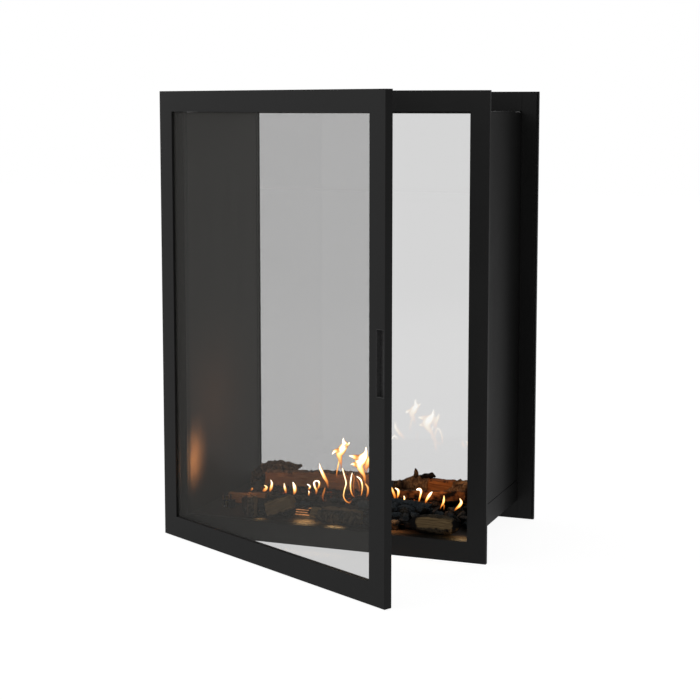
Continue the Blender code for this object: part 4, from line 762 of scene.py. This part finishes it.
# Flames: burning gas, brightest and almost white inside a thin orange rim, and clearer at the foot
# where it leaves the logs. Each lick is a flattened tube of light along its own path.
LICKS = {
    # group: licks as depth, whiteness and a path of (x, z, half width), in millimetres
    "tall": (
        (140, 1.0, ((-7.1, 218, 0.6), (-8, 209.4, 4.2), (-5.3, 201.1, 9), (-11.7, 189.9, 11.2),
                    (-17.2, 178.8, 9.8), (-14.4, 168.3, 6), (-11.7, 157.9, 3.4),
                    (-11.7, 142.9, 1.2))),
        (138, 0.9, ((-34.5, 177.2, 0.6), (-29.7, 183.8, 4.4), (-21.4, 187.4, 6),
                    (-13.6, 190.2, 6))),
        (141, 0.9, ((6.8, 208.5, 0.6), (2.6, 202.7, 3.4), (-4.9, 197.1, 6))),
        (138, 0.6, ((-15.8, 170.6, 2.4), (-21, 151.1, 2.2), (-22.3, 136.1, 1.8),
                    (-20, 122.1, 0.6))),
        # The thin strand that hooks round under the tall flame, in front of the charcoal.
        (66, 0.80, ((18.6, 165.5, 2), (23.1, 146.6, 2.3), (26.2, 130.9, 2.3), (22.6, 115.8, 1.9),
                    (21.2, 102, 1.9), (27.4, 92.3, 2.1), (37, 89.3, 2.4), (42.4, 95.8, 1.1))),
    ),
    "broad": (
        (150, 1.0, ((43.8, 199, 0.6), (42.9, 185.6, 5.2), (37.9, 174.6, 12), (28.8, 163.1, 15),
                    (28.3, 152.1, 11), (34.4, 141.1, 7.6), (40.2, 132.1, 4.8), (42.5, 121.7, 3.6),
                    (44.7, 108.2, 1))),
        (150, 0.9, ((2, 174.5, 0.6), (9.2, 173.2, 4.2), (19.7, 172.5, 7.6), (31.1, 174.3, 8))),
        (152, 0.8, ((5.3, 154.5, 0.6), (14.4, 155.1, 6), (25.8, 153.6, 7))),
        (148, 0.8, ((59, 186, 0.6), (56, 177, 5), (50, 166, 8), (46, 152, 6), (47, 138, 1))),
        (145, 0.5, ((44, 115, 2), (49, 104, 3.2), (50, 92, 3), (48, 82, 0.8))),
    ),
    "curved": (
        (135, 0.9, ((-64, 155.6, 0.4), (-63.4, 144.1, 3.8), (-58.8, 133.8, 5.2), (-52, 123.7, 5.6),
                    (-44.2, 113.6, 4), (-40.5, 98.9, 0.8))),
        (66, 0.3, ((-23, 117.6, 1.1), (-26.6, 108.1, 2.4), (-28.3, 96.5, 2.4),
                   (-23.5, 85.5, 1.3))),
        # Two hollow licks, each an outer and an inner strand.
        (100, 0.9, ((29.6, 148.9, 0.8), (25.9, 137.1, 2.1), (24, 124.3, 2.4), (25.5, 110.7, 2.2),
                    (30.3, 99.6, 2.2), (37.3, 93.3, 1.3))),
        (100, 0.3, ((30.8, 146.7, 0.8), (32.6, 135.4, 1.4), (31.7, 122.8, 1.4), (33.8, 109.1, 1.5),
                    (37.3, 97.9, 1.3))),
        (102, 0.9, ((39.2, 140.5, 1), (45, 135.7, 2.8), (50, 127.7, 2.7), (52.8, 115.3, 2.1),
                    (51.9, 101.5, 1.5), (50.5, 96.8, 0.8))),
        (102, 0.25, ((38.4, 134.7, 1), (42, 125.8, 1.5), (46.4, 114.8, 1.5), (48.8, 103.5, 1.2))),
    ),
    "left_row": (
        (125, 0.4, ((-231.2, 86, 0.5), (-229.6, 82.6, 2.8), (-230.2, 79.5, 1))),
        (125, 0.7, ((-198.5, 95, 0.8), (-193.6, 89.8, 3.6), (-196.5, 84.2, 4.6),
                    (-200.8, 80.5, 1.6))),
        (125, 0.9, ((-181.9, 109.5, 0.5), (-180.2, 99.9, 3.4), (-180.6, 89.3, 4.2),
                    (-182.2, 80.5, 1.4))),
        (125, 0.8, ((-148.1, 104.8, 0.5), (-148.1, 94.2, 3.6), (-144, 88.1, 4.2),
                    (-139, 83.1, 1))),
        (125, 1.0, ((-126.2, 108.8, 0.8), (-123.8, 98.2, 5.2), (-120.8, 87.8, 5),
                    (-122.4, 79.3, 1.4))),
        (125, 1.0, ((-90.5, 106.5, 1.6), (-84.4, 99.6, 3.2), (-86.2, 94.5, 1))),
        (125, 0.9, ((-88, 91.5, 0.8), (-86.8, 86, 2), (-83.9, 80, 1.6))),
        (125, 1.0, ((-69.2, 116.8, 1.4), (-74.8, 109.9, 3), (-72.2, 100.9, 3.2),
                    (-66.6, 94.9, 3.4), (-66.9, 85.2, 1.8))),
        (127, 1.0, ((-71, 116, 1.6), (-64, 113.1, 3), (-61.6, 105.1, 2.6), (-64.6, 95.4, 2))),
    ),
    "right_row": (
        (125, 0.5, ((114.3, 117.2, 0.6), (116.4, 107, 3.4), (122.2, 97, 3.4), (125.4, 85.6, 1))),
        (125, 0.8, ((122.2, 115.9, 0.8), (128.8, 110.1, 3.6), (130.5, 100.8, 3),
                    (128.9, 92.4, 1))),
        (125, 0.8, ((143.1, 99.7, 0.5), (144, 91.5, 2.6), (144, 84.8, 1.2))),
        (125, 1.0, ((173.3, 116, 1.4), (179, 117.2, 3.6), (182.8, 113.4, 3.4), (182.8, 105.4, 2.4),
                    (181.5, 96.8, 2.5), (180, 88.3, 1))),
        (125, 0.9, ((210.1, 114.5, 0.8), (203.5, 106.9, 3.8), (198.3, 97.1, 3.6),
                    (195.5, 87.8, 1.2))),
        (115, 0.62, ((240.9, 111.5, 0.5), (239.5, 100.9, 3), (238.3, 93.5, 3), (235, 85.8, 1.4),
                     (233.5, 80, 0.6))),
        (115, 0.3, ((238.5, 92, 1.2), (240.5, 85, 1.4), (242.5, 79, 0.5))),
        (112, 0.72, ((278.1, 108.5, 0.8), (280.8, 99.9, 3.6), (277.5, 92.2, 4.2), (271, 85.3, 2.6),
                     (267.2, 80.3, 0.8))),
    ),
}


def lick_tube(depth, path):
    """A smooth path of (x, z, half width) with a flattened ring round each of its points: a share
    of the half width across the path in the X-Z plane and two fifths of that along Y, where it
    sways. Marks give the distance from the rim and the share of the way down from the tip."""
    around, rings_each = 14, 9
    width_share, flatness, thinnest, tip, sway = 0.84, 0.4, 0.0002, 0.00005, 0.004
    down = np.linspace(0, 1, rings_each * len(path))
    line = smooth_line(path, down)
    wide = np.maximum(line[:, 2] * width_share, thinnest)
    wide[0] = wide[-1] = tip
    run = np.gradient(line[:, :2], axis=0)
    run /= np.linalg.norm(run, axis=1, keepdims=True)
    turn = np.arange(around) * 2 * math.pi / around
    x = line[:, :1] + wide[:, None] * np.cos(turn) * -run[:, 1:]
    z = line[:, 1:2] + wide[:, None] * np.cos(turn) * run[:, :1]
    y = depth + sway * np.sin(down * 5)[:, None] + flatness * wide[:, None] * np.sin(turn)
    core = np.repeat(np.abs(np.sin(turn))[None], len(line), axis=0)
    return (np.stack([x, y, z], axis=-1), sheet_faces(len(line), around, True), core,
            np.repeat(down[:, None], around, axis=1))


burning_gas, tree, shader = finish("burning gas")
core, down, whiteness = (
    node(tree, "ShaderNodeAttribute", attribute_name=mark).outputs["Fac"]
    for mark in ("core", "down", "whiteness"))
foot = node(tree, "ShaderNodeMapRange", {0: down, 1: 0.30, 2: 1.0, 3: 1.0, 4: 0.05})
inner = node(tree, "ShaderNodeMath", {0: core, 1: foot.outputs[0]}, operation="MULTIPLY")
inner = node(tree, "ShaderNodeMath", {0: inner.outputs[0], 1: whiteness}, operation="MULTIPLY")
shade = node(tree, "ShaderNodeValToRGB", {0: inner.outputs[0]},
             [(0.0, colour("#B04A18")), (0.90, colour("#FFFDF4")), (0.30, colour("#FF9A3C")),
              (0.60, colour("#FFDC8C"))])
strong = node(tree, "ShaderNodeMapRange", {0: inner.outputs[0], 1: 0.0, 2: 0.9, 3: 0.8, 4: 4.0})
light = node(tree, "ShaderNodeEmission", {"Color": shade.outputs[0],
                                          "Strength": strong.outputs[0]})
clear = node(tree, "ShaderNodeBsdfTransparent")
fade = node(tree, "ShaderNodeMapRange", {0: down, 1: 0.60, 2: 1.0, 3: 0.95, 4: 0.15})
pale = node(tree, "ShaderNodeMath", {0: 1.0, 1: whiteness}, operation="SUBTRACT")
hollow = node(tree, "ShaderNodeMath", {0: pale.outputs[0], 1: core}, operation="MULTIPLY")
solid = node(tree, "ShaderNodeMapRange", {0: hollow.outputs[0], 1: 0.1, 2: 0.7, 3: 1.0, 4: 0.25})
cover = node(tree, "ShaderNodeMath", {0: fade.outputs[0], 1: solid.outputs[0]},
             operation="MULTIPLY")
shown = node(tree, "ShaderNodeMixShader", {0: cover.outputs[0], 1: clear.outputs[0],
                                           2: light.outputs[0]})
tree.nodes.remove(shader)
fill(tree.nodes["Material Output"], {"Surface": shown.outputs[0]})
for group, licks in LICKS.items():
    places, quads, cores, downs, whites, total = [], [], [], [], [], 0
    for depth, white, path in licks:
        points, faces, core, down = lick_tube(depth / 1000, np.array(path) / 1000)
        places.append(points.reshape(-1, 3))
        quads.append(faces + total)
        cores.append(core.ravel())
        downs.append(down.ravel())
        whites.append(np.full(core.size, white))
        total += core.size
    flame = mesh_piece(group + "_flames", np.vstack(places), np.vstack(quads), burning_gas,
                       marks={"core": np.concatenate(cores), "down": np.concatenate(downs),
                              "whiteness": np.concatenate(whites)})
    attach(flame, "firebox")


# Light of the fire: the flames are small, so soft warm lamps at their places carry their glow to
# the logs, the liners and the floor, as the real fire does.
flame_tint, amber_tint = colour("#FFAC68")[:3], colour("#FFCC86")[:3]
FIRE_LAMPS = (
    # name, place, aim and size in millimetres, power, spread in degrees, tint
    ("tall_flame_light", (0, 165, 165), (0, 200, 80), 50, 0.06, 180, flame_tint),
    ("left_fire_light", (-180, 150, 190), (-220, 250, 100), 60, 0.06, 180, flame_tint),
    ("right_fire_light", (200, 150, 170), (200, 245, 100), 50, 0.1, 180, flame_tint),
    ("low_fire_light", (-222, 35, 125), (-222, 100, 70), 40, 0.037, 180, flame_tint),
    ("liner_light_low", (-240, 20, 155), (-331, 26, 155), 50, 0.42, 66, flame_tint),
    ("liner_light_high", (-240, 24, 190), (-331, 30, 192), 50, 0.22, 74, flame_tint),
    ("liner_light_wide", (-150, 150, 270), (-331, 140, 280), 100, 0.2, 120, flame_tint),
    ("floor_light_left", (-52, 21, 60), (-52, 23, 45.5), 36, 0.25, 140, amber_tint),
    ("burner_front_light", (-78, 34, 50), (-78, 58, 49), 14, 0.012, 120, amber_tint),
    ("floor_light_stump", (-165, 20, 60), (-160, 12, 45.5), 6, 0.02, 105, amber_tint),
    ("floor_light_middle", (14, 9, 56), (14, 9, 45.5), 16, 0.065, 120, amber_tint),
    ("floor_light_beside", (32, 9, 55), (32, 9, 45.5), 14, 0.045, 120, amber_tint),
    ("floor_light_dim", (150, 10, 75), (160, 12, 45.5), 30, 0.04, 105, flame_tint),
    ("floor_light_right", (318, 13, 62), (310, 12, 45.5), 22, 0.055, 120, amber_tint),
)
for name, place, aim, size, power, spread, tint in FIRE_LAMPS:
    holder = area_lamp(name, np.array(place) / 1000, np.array(aim) / 1000, size / 1000, power)
    holder.data.spread, holder.data.color = math.radians(spread), tint
    holder.visible_glossy = False
